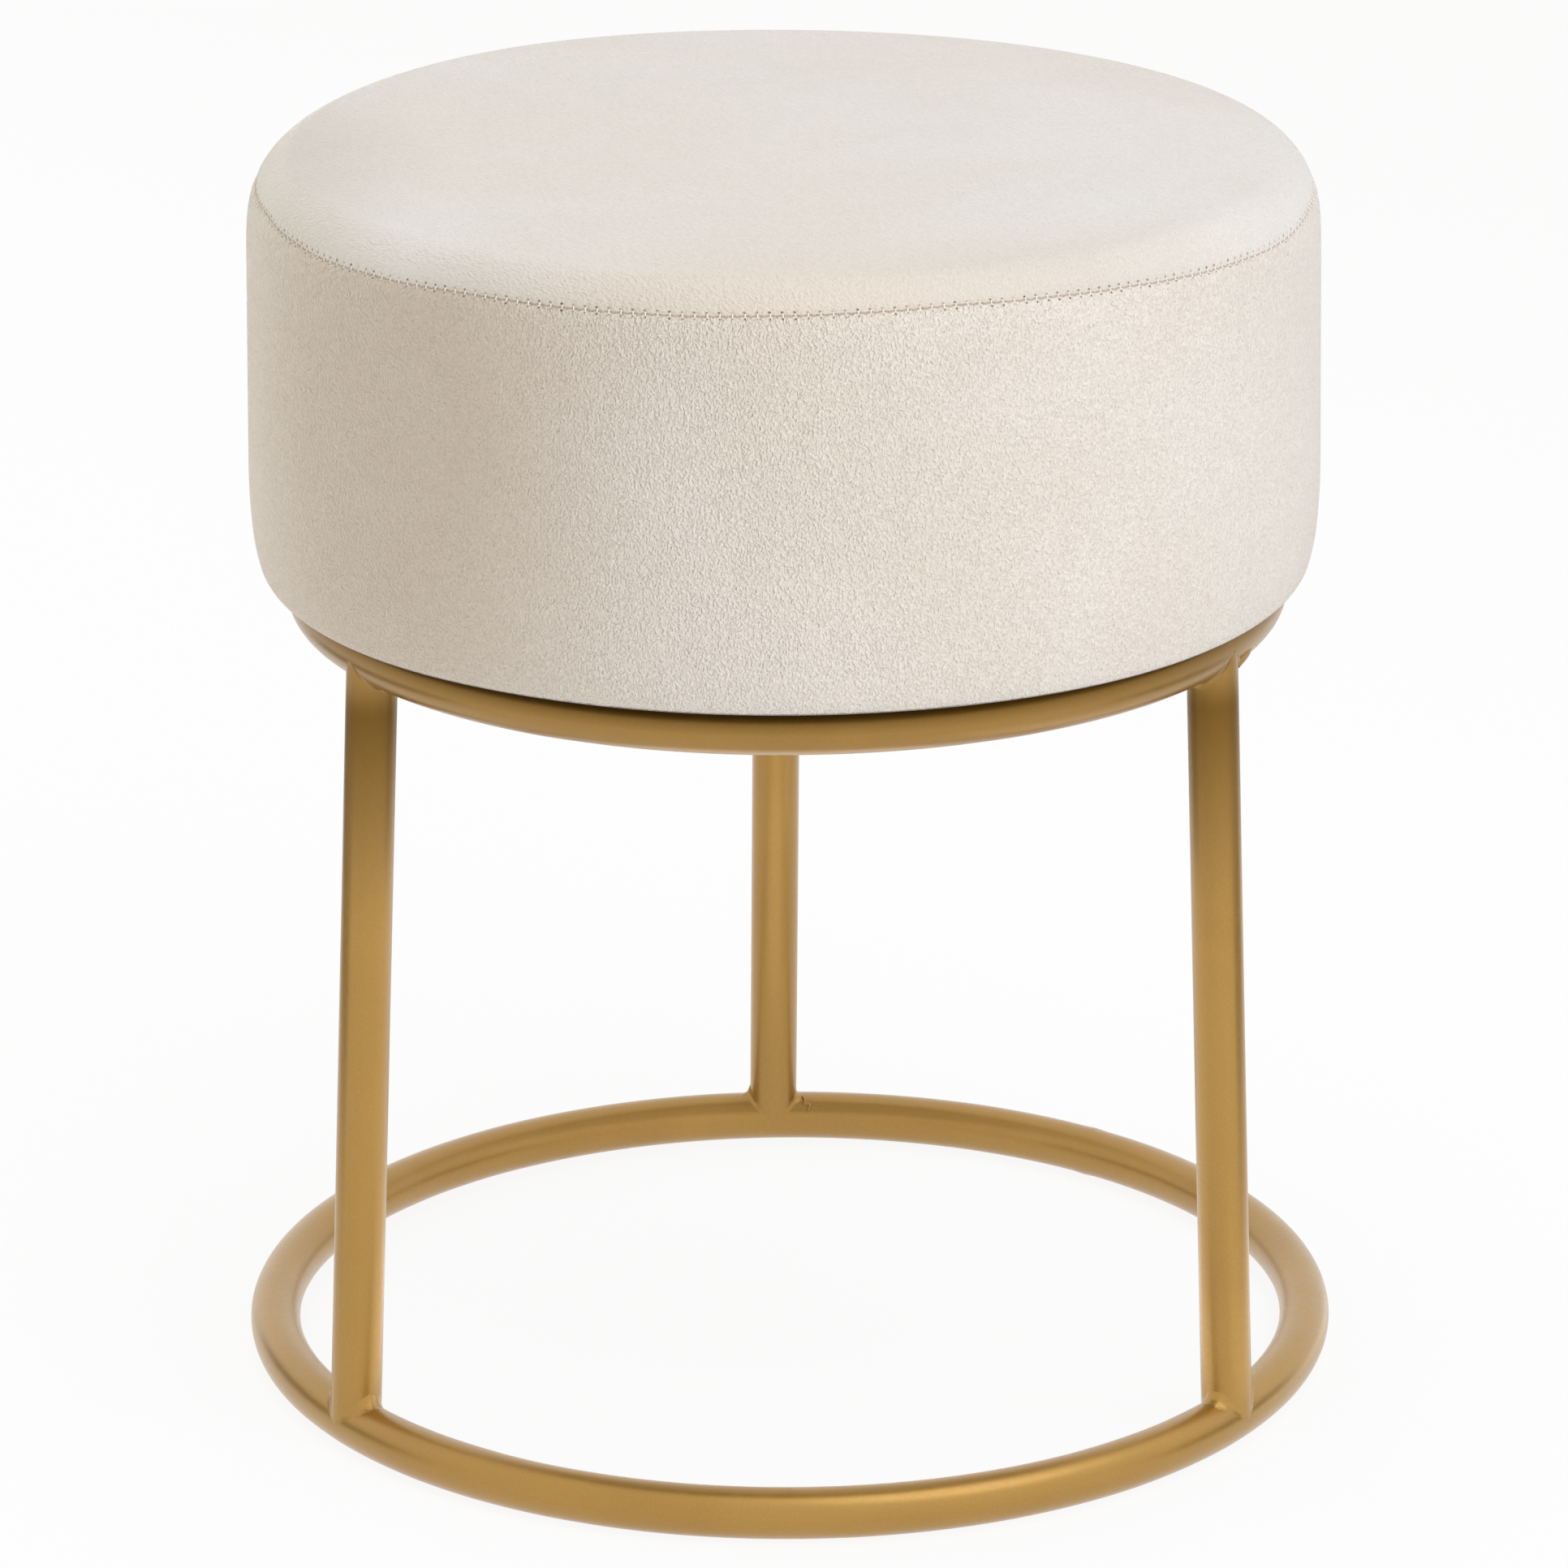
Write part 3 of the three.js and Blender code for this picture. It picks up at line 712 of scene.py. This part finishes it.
def weld_drip(name, ring, route):
    """A round drop along a route beside a ring, thicker where the route says."""
    curve = bpy.data.curves.new(name, "CURVE")
    with_settings(curve, dimensions="3D", bevel_depth=MM, bevel_resolution=3, use_fill_caps=True)
    line = curve.splines.new("NURBS")
    line.points.add(len(route) - 1)
    with_settings(line, order_u=3, use_endpoint_u=True)
    for point, (angle, section, away, thickness) in zip(line.points, route):
        reach = ring[0] + away * MM * cos(radians(section))
        height = ring[1] + away * MM * sin(radians(section))
        point.co = (*polar(reach, radians(angle), height), 1)
        point.radius = thickness
    only(placed(name, curve))
    bpy.ops.object.convert(target="MESH")
    return smooth(outward(new_piece(name)), 60)


for place, (ring, route) in DRIPS.items():
    finished(weld_drip(f"weld_drip_{place}", ring, route), GOLD)


# The fixings, made at the bolt circle on the +X axis and copied round

def lug():
    inner, outer = BOLT_CIRCLE - 11 * MM, (RING_WALL + 2.9) * MM
    length, width, thickness = outer - inner, 22 * MM, 3 * MM
    nothing_selected()
    bpy.ops.mesh.primitive_cube_add(
        size=1, location=((inner + outer) / 2, 0, RING_TOP * MM - thickness / 2)
    )
    bpy.context.object.scale = (length, width, thickness)
    plate = new_piece("lug")

    def inner_corner(edge):
        a, b = (vertex.co for vertex in edge.verts)
        return abs(a.z - b.z) > 1 * MM and abs(a.x - inner) < 0.1 * MM

    opened(plate, inner_corner)
    bpy.ops.mesh.bevel(
        offset=width / 2 - 0.01 * MM, segments=14, affect="EDGES", clamp_overlap=False
    )
    closed()
    cut(plate, cylinder("hole", 48, 3.5 * MM, 12 * MM, (BOLT_CIRCLE, 0, (RING_TOP - 2) * MM)))
    return smooth(rounded(outward(plate), 0.35 * MM), 40)


def lug_bead():
    """The weld under a lug, where it meets the ring's inner wall."""
    reach, height = (RING_WALL + 1.6) * MM, (RING_TOP - 3.3) * MM
    length, scallops = 23 * MM, 0.75 * MM
    bead = cylinder(
        "lug_bead", 20, 1.7 * MM, length, (reach, 0, height), rotation=(pi / 2, 0, 0)
    )
    opened(bead, lambda edge: abs(edge.verts[0].co.y - edge.verts[1].co.y) > 1 * MM)
    bpy.ops.mesh.subdivide(number_cuts=30)
    closed()
    for vertex in bead.data.vertices:
        y = vertex.co.y
        bend = reach - sqrt(reach**2 - y * y)
        scallop = 1 + 0.09 * cos(y / scallops) + 0.12 * noise.noise(vertex.co * 400)
        taper = sqrt(max(0.05, 1 - (y / (length / 2 + 0.3 * MM)) ** 2)) ** 0.4
        centre = Vector((reach, y, height))
        vertex.co = centre + (vertex.co - centre) * scallop * taper - Vector((bend, 0, 0))
    return smooth(outward(bead), 50)


def washer_plate():
    inner, outer, low, high, edge = 3.3, 6.0, RING_TOP - 4.9, RING_TOP - 3.3, 0.25
    loop = [(inner, low + edge), (inner + edge, low), (outer - edge, low), (outer, low + edge),
            (outer, high - edge), (outer - edge, high), (inner + edge, high), (inner, high - edge),
            (inner, low + edge)]
    plate = spun("washer_plate", [(r * MM, z * MM) for r, z in loop], 48)
    plate.data.transform(Matrix.Translation((BOLT_CIRCLE, 0, 0)))
    return smooth(plate, 35)


def button_bolt():
    """An M6 button head and its thread, as one turned profile with a hexagon socket."""
    top, height, key, shank, crest, end = RING_TOP - 5.2, 3.3, 2.0, 3.0, 0.18, RING_TOP + 13.0
    dome = [(key + 3.25 * sin(t), top - 0.5 - (height - 0.5) * cos(t))
            for t in np.linspace(0, pi / 2, 12)]
    profile = [(0, top - height), *dome, (5.25, top), (shank, top)]
    profile += [(shank - crest * (k % 2), top + 0.5 * k) for k in range(1, 36)]
    profile += [(2.4, end), (0, end + 0.2)]
    bolt = spun("button_bolt", [(r * MM, z * MM) for r, z in profile], 40)
    cut(bolt, cylinder("socket", 6, 2.31 * MM, 4 * MM, (0, 0, (top - height) * MM)))
    bolt.data.transform(Matrix.Translation((BOLT_CIRCLE, 0, 0)))
    return smooth(bolt, 35)


for made, node, dress in (
    (lug(), "seat_tab", GOLD),
    (lug_bead(), None, GOLD),
    (washer_plate(), "washer", ZINC),
    (button_bolt(), "seat_bolt", ZINC),
):
    for place, angle in TAB_ANGLES.items():
        copy = own_copy(made, f"{made.name}_{place}")
        copy.data.transform(Matrix.Rotation(radians(angle), 4, "Z"))
        finished(copy, dress, *([f"{node}_{place}"] if node else []))
    bpy.data.objects.remove(made)

for node, finish in [("seat_board", PLYWOOD)] + [(f"tee_nut_{p}", ZINC[0]) for p in TAB_ANGLES]:
    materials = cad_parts[node].data.materials
    materials.clear()
    materials.append(finish)


# The cushion

def bezier(points, count):
    shares = np.linspace(0, 1, count)[:, None]
    a, b, c, d = (np.array(p, float) for p in points)
    rest = 1 - shares
    return rest**3 * a + 3 * rest**2 * shares * b + 3 * rest * shares**2 * c + shares**3 * d


def crown_height(radius):
    return TOP_EDGE + CROWN * (1 - (radius / FLAT_RADIUS) ** 2)


def cover_profile():
    """The cover's outside as (radius, height) in millimetres, from the hem to the middle."""
    start = radians(26)
    foot_turns = np.linspace(start, pi / 2, 80)
    foot = np.c_[RIM_RADIUS + (WIDEST - RIM_RADIUS) * np.sin(foot_turns),
                 RIM_BOTTOM + FOOT_DEPTH * (1 - np.cos(foot_turns))]
    roll = bezier([(HEM_OUTER, HEM_HEIGHT), (159.5, 262.1), (163.6, 262.0), foot[0]], 60)
    hem = np.c_[np.linspace(HEM_INNER, HEM_OUTER, 30), np.full(30, HEM_HEIGHT)]
    wall = np.c_[np.linspace(WIDEST, WIDEST - TAPER, 120),
                 np.linspace(RIM_BOTTOM + FOOT_DEPTH, SHOULDER_BASE, 120)]
    turns = np.linspace(0, pi / 2, SHOULDER_STEPS)
    shoulder = np.c_[FLAT_RADIUS + SHOULDER_WIDTH * np.cos(turns),
                     SHOULDER_BASE + SHOULDER_DEPTH * np.sin(turns)]
    crown_radii = np.linspace(FLAT_RADIUS, 0, 200)
    crown = np.c_[crown_radii, crown_height(crown_radii)]
    points = np.vstack([hem[:-1], roll[:-1], foot[:-1], wall[:-1], shoulder[:-1], crown])
    lengths = np.r_[0, np.cumsum(np.hypot(*np.diff(points, axis=0).T))]
    return points, lengths


PROFILE, LENGTHS = cover_profile()
SHOULDER_FROM = int(np.argmax(PROFILE[:, 1] > SHOULDER_BASE))


def profile_point(length):
    return np.array([np.interp(length, LENGTHS, column) for column in PROFILE.T])


def profile_at(length, step=0.3):
    """The point and outward normal at a length along the profile, in millimetres."""
    r, z = profile_point(length)
    dr, dz = profile_point(length + step) - profile_point(length - step)
    run = np.hypot(dr, dz)
    return [float(v) for v in (r, z, dz / run, -dr / run)]


def seam_length(height):
    """Where along the profile the shoulder reaches a height, but for its flat last rows."""
    side = slice(SHOULDER_FROM, SHOULDER_FROM + SHOULDER_STEPS - 10)
    return float(np.interp(height, PROFILE[side, 1], LENGTHS[side]))


def seam_height(turn):
    """The wavy seam's height at an angle in radians."""
    angle = (degrees(turn) + 180) % 360 - 180
    pairs = zip(SEAM_HEIGHTS, SEAM_HEIGHTS[1:])
    (a, low), (b, high) = next(pair for pair in pairs if angle <= pair[1][0])
    share = (angle - a) / (b - a)
    return low + (high - low) * (1 - cos(pi * share)) / 2


MEAN_SEAM = seam_length(SEAM_MIDDLE)


def extra_fullness(turn, across):
    """How much the filling stands up, in millimetres, where more of it was packed in."""
    fuller, middle, width, seam_edge = 1.5, 128, 30, 3
    if across < seam_edge:
        return 0.0
    apart = turn_from(turn, middle) / radians(width)
    rising = min(1.0, (across - seam_edge) / 9)
    return fuller * exp(-apart * apart) * rising / (1 + (across / 70) ** 2)


def rim_lift(turn, length):
    """How far in millimetres the rolled edge was pulled up over the ring, where it was."""
    lift, middle, width, low_end, high_end = 0.85, -96, 37, 14, 62
    if length > high_end:
        return 0.0
    apart = turn_from(turn, middle) / radians(width)
    share = min(1.0, max(0.0, (length - low_end) / 8)) * min(1.0, (high_end - length) / 30)
    return lift * exp(-apart**4) * share


def groove(across):
    """Depth in millimetres of the pinch that the stitches pull in, beside the seam."""
    return SEAM_PINCH * max(0.0, 1 - abs(across) / SEAM_SPREAD) ** 2


def cover_rows():
    """Lengths along the profile of the cover's rows, relative to the seam."""
    near = [0.3, 0.75, 1.3, 2.0, 3.0, 4.2, 5.8, 7.8, 10.2]
    below = [-n for n in reversed(near)]
    hem = list(np.linspace(0, HEM_OUTER - HEM_INNER, 5) - MEAN_SEAM)
    roll_end = float(np.interp(RIM_RADIUS + 3, PROFILE[:SHOULDER_FROM, 0], LENGTHS[:SHOULDER_FROM]))
    roll = list(np.linspace(HEM_OUTER - HEM_INNER + 1.0, roll_end, 9) - MEAN_SEAM)
    wall = list(np.linspace(roll_end - MEAN_SEAM, below[0], 22)[1:-1])
    edge = float(LENGTHS[np.argmax(PROFILE[:, 1] >= TOP_EDGE)] - MEAN_SEAM)
    shoulder = list(np.linspace(near[-1], edge, 6)[1:])
    crown = list(np.linspace(edge, edge + FLAT_RADIUS - CROWN_GRID, 20)[1:])
    return hem + roll + wall + below + [0.0] + near + shoulder + crown


def cover_shell():
    """The whole cover's outside: a spun drum with a grid for its middle. Each point's length
    from the seam is kept as an attribute."""
    rows = cover_rows()
    lengths = [MEAN_SEAM + row for row in rows]
    places = [profile_at(length)[:2] for length in lengths]
    shell = spun("cover_shell", [(r * MM, z * MM) for r, z in places], COVER_COLUMNS)
    opened(shell, lambda edge: edge.is_boundary and edge.verts[0].co.z > ABOVE_SEAM * MM)
    bpy.ops.mesh.fill_grid(span=COVER_COLUMNS // 4)
    closed()
    outward(shell)

    table = np.array(places)
    across = np.zeros(len(shell.data.vertices))
    for k, vertex in enumerate(shell.data.vertices):
        r = hypot(vertex.co.x, vertex.co.y) / MM
        z = vertex.co.z / MM
        if r < CROWN_GRID - 0.01 and z > ABOVE_SEAM:
            across[k] = rows[-1] + (CROWN_GRID - r)
            continue
        across[k] = rows[int(np.argmin(np.hypot(table[:, 0] - r, table[:, 1] - z)))]
    shell.data.attributes.new("from_seam", "FLOAT", "POINT").data.foreach_set("value", across)
    return shell


def led_to_seam(shell, slack):
    """Puts each point on the profile, with its rows led along the wavy seam, and drawn in by
    the slack that the pressed filling takes up. Returns the outward normals."""
    spread, on_crown = 16, 100  # how far the seam's waves reach, and where the top is flat
    normals = []
    for vertex, item in zip(shell.data.vertices, shell.data.attributes["from_seam"].data):
        turn = atan2(vertex.co.y, vertex.co.x)
        lead = seam_length(seam_height(turn)) - MEAN_SEAM
        share = max(0.0, 1 - abs(item.value) / spread) ** 2
        length = min(MEAN_SEAM + item.value + lead * share, float(LENGTHS[-1]))
        r, z, nr, nz = profile_at(length)
        if item.value > on_crown:
            flat = hypot(vertex.co.x, vertex.co.y) / MM
            r, z, nr, nz = flat, crown_height(flat), 0.0, 1.0
        r += OFF_CENTRE * cos(turn) * min(1.0, r / 60)
        z += extra_fullness(turn, item.value) + rim_lift(turn, length)
        inward = slack(item.value) + groove(item.value)
        vertex.co = polar((r - nr * inward) * MM, turn, (z - nz * inward) * MM)
        normals.append(polar(nr, turn, nz))
    shell.data.update()
    return normals


def slack_at(across):
    """How far the cover lies inside its filled shape before the filling presses it out."""
    on_side, more_on_top = 0.35, 0.75
    if across < RIM_FROM_SEAM:
        return 0.0
    from_seam = max(0.0, abs(across) - 3.0)
    most = on_side + more_on_top * min(1.0, max(0.0, (across - 25) / 30))
    return most * min(1.0, from_seam / 9) * min(1.0, (across - RIM_FROM_SEAM) / 12)


def pressed(shell, normals):
    """Fills the cover: the cloth is pinned at the seam and under the rim, and pressure from the
    filling swells it in between, by no more than a little over its slack."""
    slacks = [slack_at(item.value) for item in shell.data.attributes["from_seam"].data]
    rest = [vertex.co.copy() for vertex in shell.data.vertices]
    pins = shell.vertex_groups.new(name="held")
    pins.add([k for k, slack in enumerate(slacks) if slack < 0.02], 1.0, "ADD")
    only(shell)
    cloth = with_settings(
        shell.modifiers.new("filling", "CLOTH").settings, quality=5, mass=0.3,
        tension_stiffness=25, compression_stiffness=25, shear_stiffness=10,
        bending_stiffness=0.6, use_pressure=True, uniform_pressure_force=4,
        vertex_group_mass="held",
    )
    cloth.effector_weights.gravity = 0
    for step in range(1, 21):
        bpy.context.scene.frame_set(step)
    swollen = shell.evaluated_get(bpy.context.evaluated_depsgraph_get()).to_mesh()
    moves = [(after.co - before) for after, before in zip(swollen.vertices, rest)]
    shell.modifiers.clear()
    shell.vertex_groups.clear()
    bpy.context.scene.frame_set(1)
    for k, vertex in enumerate(shell.data.vertices):
        out = max(0.0, moves[k].dot(normals[k])) / MM
        vertex.co = rest[k] + normals[k] * min(out, MOST_SWELL, slacks[k] * 1.15) * MM
    shell.data.update()


def half_of(shell, name, keep):
    """One panel of the cover, with the faces on its side of the seam."""
    panel = own_copy(shell, name)
    skin = bmesh.new()
    skin.from_mesh(panel.data)
    layer = skin.verts.layers.float["from_seam"]
    gone = [f for f in skin.faces if keep * sum(v[layer] for v in f.verts) < 0]
    bmesh.ops.delete(skin, geom=gone, context="FACES")
    skin.to_mesh(panel.data)
    skin.free()
    return smooth(walled(panel, VELVET * MM))


shell = cover_shell()
pressed(shell, led_to_seam(shell, slack_at))
finer = shell.modifiers.new("finer", "SUBSURF")
finer.levels = finer.render_levels = 1
apply_all(shell)

side_band = half_of(shell, "velvet_side_band", -1)
top_panel = half_of(shell, "velvet_top_panel", 1)
bpy.data.objects.remove(shell)
finished(side_band, VELVET_SIDE, "cover_side_band")
finished(top_panel, VELVET_TOP, "cover_top_panel")


def seam_threads():
    """One thread that bridges the seam, copied to every stitch."""
    nothing_selected()
    bpy.ops.mesh.primitive_uv_sphere_add(segments=8, ring_count=7, radius=1)
    one = new_piece("one_thread")
    shape = np.array([v.co for v in one.data.vertices])
    faces = [tuple(p.vertices) for p in one.data.polygons]
    thick, high, arched = 0.25, 0.2, 0.16
    points, all_faces = [], []
    for k in range(STITCHES):
        turn = 2 * pi * k / STITCHES
        r, z, nr, nz = profile_at(seam_length(seam_height(turn)))
        r += OFF_CENTRE * cos(turn)
        normal = polar(nr, turn, nz)
        up = polar(-nz, turn, nr)
        round_way = up.cross(normal)
        wobble = noise.noise(Vector((k * 0.71, 3.1, 0)))
        lean = 0.25 * noise.noise(Vector((k * 0.37, 0, 7.7)))
        middle = polar(r * MM, turn, z * MM) - normal * (SEAM_PINCH - 0.02 + 0.1 * wobble) * MM
        length = (0.85 + 0.2 * wobble) * MM
        for x, y, h in shape:
            arch = arched * (1 - h * h) * MM
            spot = middle + up * h * length + round_way * (x * thick + h * lean) * MM
            points.append(spot + normal * (y * high * MM + arch))
        all_faces += [tuple(v + k * len(shape) for v in face) for face in faces]
    bpy.data.objects.remove(one)
    return smooth(outward(drawn("seam_threads", points, (), all_faces)))


finished(seam_threads(), THREAD)


def foam_core():
    """The block, at an even depth inside the cover and flat on the board."""
    outline = []
    for length in np.linspace(0, LENGTHS[-1], 150):
        r, z, nr, nz = profile_at(length)
        r, z = r - nr * FOAM_INSET, z - nz * FOAM_INSET
        if z > FOAM_BOTTOM + 0.1 and length > 40:
            outline.append((max(r, 0.0) * MM, z * MM))
    flat = FOAM_BOTTOM * MM
    outline = [(0, flat), (outline[0][0] - 0.6 * MM, flat)] + outline
    outline[-1] = (0, outline[-1][1])
    return smooth(spun("foam_core", outline, 160), 50)


finished(foam_core(), FOAM, "foam_block")


def dust_cloth():
    """Thin cloth under the board, stapled near its edge and a little loose in between."""
    radius, height = HEM_OUTER - 3.4, RING_TOP + 0.65
    sag, looseness, pull = 0.12, 0.28, 0.10
    nothing_selected()
    bpy.ops.mesh.primitive_grid_add(x_subdivisions=150, y_subdivisions=150, size=2)
    cloth = new_piece("dust_cloth")
    for vertex in cloth.data.vertices:
        x, y = vertex.co.x, vertex.co.y
        u, v = x * sqrt(1 - y * y / 2), y * sqrt(1 - x * x / 2)
        r = min(1.0, hypot(u, v))
        turn = atan2(v, u)
        spot = polar(r * radius, turn)
        loose = looseness * noise.noise(spot / 26)
        pulls = pull * cos(STAPLES * turn) * max(0.0, (r - 0.72) / 0.28)
        inside = min(1.0, (1 - r) / 0.10) if r > 0.9 else 1.0
        spot.z = height - (sag + loose) * inside + pulls
        vertex.co = spot * MM
    walled(cloth, 0.3 * MM, 0)
    for angle in TAB_ANGLES.values():
        hole = polar(BOLT_CIRCLE, radians(angle), RING_TOP * MM)
        cut(cloth, cylinder("hole", 32, 3.4 * MM, 8 * MM, hole))
    return smooth(cloth, 50)


def staples():
    """One bent wire, pressed into the cloth and copied round."""
    wire, end, sides = 0.35, 5.0, 6
    # Along the staple, height, eighths of a turn that the wire's section leans
    path = [(-end, 0.9, 2), (-end, 0.15, 1), (-end + 0.35, -0.25, 1),
            (end - 0.35, -0.25, -1), (end, 0.15, -1), (end, 0.9, -2)]
    upward = Vector((0, 0, 1))
    points, faces = [], []
    for k in range(STAPLES):
        turn = 2 * pi * (k + 0.5) / STAPLES
        lean = 0.12 * noise.noise(Vector((k * 1.3, 2.2, 0)))
        reach = RING_WALL - 3.9 + 0.5 * noise.noise(Vector((k * 0.9, 0, 1)))
        centre = polar(reach, turn, RING_TOP + 0.2)
        out = polar(1, turn)
        side = polar(1, turn + pi / 2)
        side, out = (side * cos(lean) + out * sin(lean),
                     out * cos(lean) - side * sin(lean))
        start = len(points)
        for s, h, eighths in path:
            tilt = pi / 4 * eighths
            across = side * sin(tilt) + upward * cos(tilt)
            for c in range(sides):
                spin = 2 * pi * c / sides
                spot = centre + side * s + upward * h
                spot = spot + (out * cos(spin) + across * sin(spin)) * wire
                points.append(spot * MM)
        last = start + (len(path) - 1) * sides
        for a in range(start, last, sides):
            for c in range(sides):
                n, b = (c + 1) % sides, a + sides
                faces.append((a + c, a + n, b + n, b + c))
        faces.append(tuple(start + c for c in range(sides)))
        faces.append(tuple(last + c for c in reversed(range(sides))))
    return smooth(outward(drawn("dust_cloth_staples", points, (), faces)), 50)


finished(dust_cloth(), FELT, "dust_cover")
finished(staples(), ZINC)


# Floor, light and camera

def white_where_seen(surface, kind, share, output):
    """Whitens a surface for the camera and in mirrors. The light that it gives stays."""
    tree = surface.id_data
    rays = tree.nodes.new("ShaderNodeLightPath").outputs
    mirrored = maths("MAXIMUM", rays["Is Glossy Ray"], rays["Is Transmission Ray"])
    seen = maths("MAXIMUM", rays["Is Camera Ray"], mirrored)
    white = put(kind, {"Color": (1, 1, 1, 1), "Strength": 1.0}, tree).outputs[0]
    factor = maths("MULTIPLY", seen, share)
    both = put("ShaderNodeMixShader", {0: factor, 1: surface.outputs[0], 2: white})
    tree.links.new(both.outputs[0], tree.nodes[output].inputs["Surface"])


def pale_floor():
    made, shader, place = material("pale_floor")
    wear = patches(place, 1.2, 0.3)
    tone = mixed(wear, (0.90, 0.90, 0.90, 1), (0.92, 0.92, 0.92, 1))
    set_up(shader, {"Base Color": tone, "Roughness": 0.9, "Specular IOR Level": 0.0})
    white_where_seen(shader, "ShaderNodeEmission", 0.9, "Material Output")
    return made


floor = sheet("floor", (14, 14), (0, 0, 0))
floor.data.materials.append(pale_floor())


def soft_light(name, place, size, power, colour, towards=(0, 0, 0.25)):
    """A round soft box. It lights the stool but isn't mirrored in the gold."""
    lamp = bpy.data.lights.new(name, "AREA")
    with_settings(lamp, shape="DISK", size=size, energy=power, color=colour)
    light = with_settings(placed(name, lamp), location=place, visible_glossy=False)
    light.rotation_euler = (Vector(towards) - Vector(place)).to_track_quat("-Z", "Y").to_euler()
    return light


LAMP_TINT = (0.878, 0.896, 1.0)
soft_light("key", (1.5, -1.7, 1.35), 2.6, 44, LAMP_TINT)
soft_light("overhead", (0.2, 0, 2.4), 3.0, 35, LAMP_TINT)
soft_light("back", (-1.7, 1.5, 1.2), 2.2, 21, LAMP_TINT)
soft_light("low_left", (-1.4, 0.25, 0.16), 0.6, 6.5, (1.0, 0.95, 0.86), (0, 0, 0.28))
soft_light("low_front", (0.1, -1.8, 0.15), 0.8, 4.2, LAMP_TINT, (0, 0, 0.28))
# This one is mirrored, and gives no diffuse light
gleam = soft_light("gleam", (0.75, -0.5, 1.9), 1.5, 8, (1, 1, 1))
gleam.visible_glossy, gleam.visible_diffuse = True, False

# Cards and flags, seen only in the metal, as painted reflections: (name, centre, turn, size, glow)
CARDS = (
    ("flag_left", (-0.55, 0.12, 0.055), (0, pi / 2, 0), (0.11, 0.56), 0.0),
    ("flag_right", (0.55, 0.0, 0.055), (0, pi / 2, 0), (0.11, 0.36), 0.0),
    ("card_between_legs", (0, -0.045, 0.085), (0, pi / 2, 0), (0.15, 0.2), 1.05),
    ("card_floor_right", (0.245, -0.125, 0.004), (0, 0, 0), (0.115, 0.35), 1.3),
    ("card_floor_inside", (0, -0.045, 0.004), (0, 0, 0), (0.18, 0.16), 1.45),
    ("card_under_seat", (0, 0.03, 0.242), (0, 0, 0), (0.2, 0.2), 0.6),
)
for name, centre, turn, size, glow in CARDS:
    card = sheet(name, size, centre, turn)
    paper, shader, _ = material(name)
    set_up(shader, {
        "Base Color": (0.03, 0.03, 0.03, 1), "Roughness": 1.0,
        "Emission Color": (1, 1, 1, 1), "Emission Strength": glow})
    card.data.materials.append(paper)
    card.visible_camera = card.visible_diffuse = card.visible_shadow = False

world = bpy.data.worlds.new("studio")
bpy.context.scene.world = world
world.use_nodes = True
lit = world.node_tree.nodes["Background"]
set_up(lit, {"Color": (1, 0.875, 0.64, 1), "Strength": 0.31})
white_where_seen(lit, "ShaderNodeBackground", 1.0, "World Output")

lens = with_settings(bpy.data.cameras.new("camera"), sensor_width=36, lens=180.18)
camera = placed("camera", lens)
place = Matrix.Translation((0, -2.375, 1.0016))
pitch, roll, yaw = (radians(angle) for angle in (18.93, -0.23, 0.03))
turn = Matrix.Rotation(yaw, 4, "Z") @ Matrix.Rotation(pi / 2 - pitch, 4, "X")
camera.matrix_world = place @ turn @ Matrix.Rotation(roll, 4, "Z")
bpy.context.scene.camera = camera
bpy.context.scene.view_settings.view_transform = "Standard"
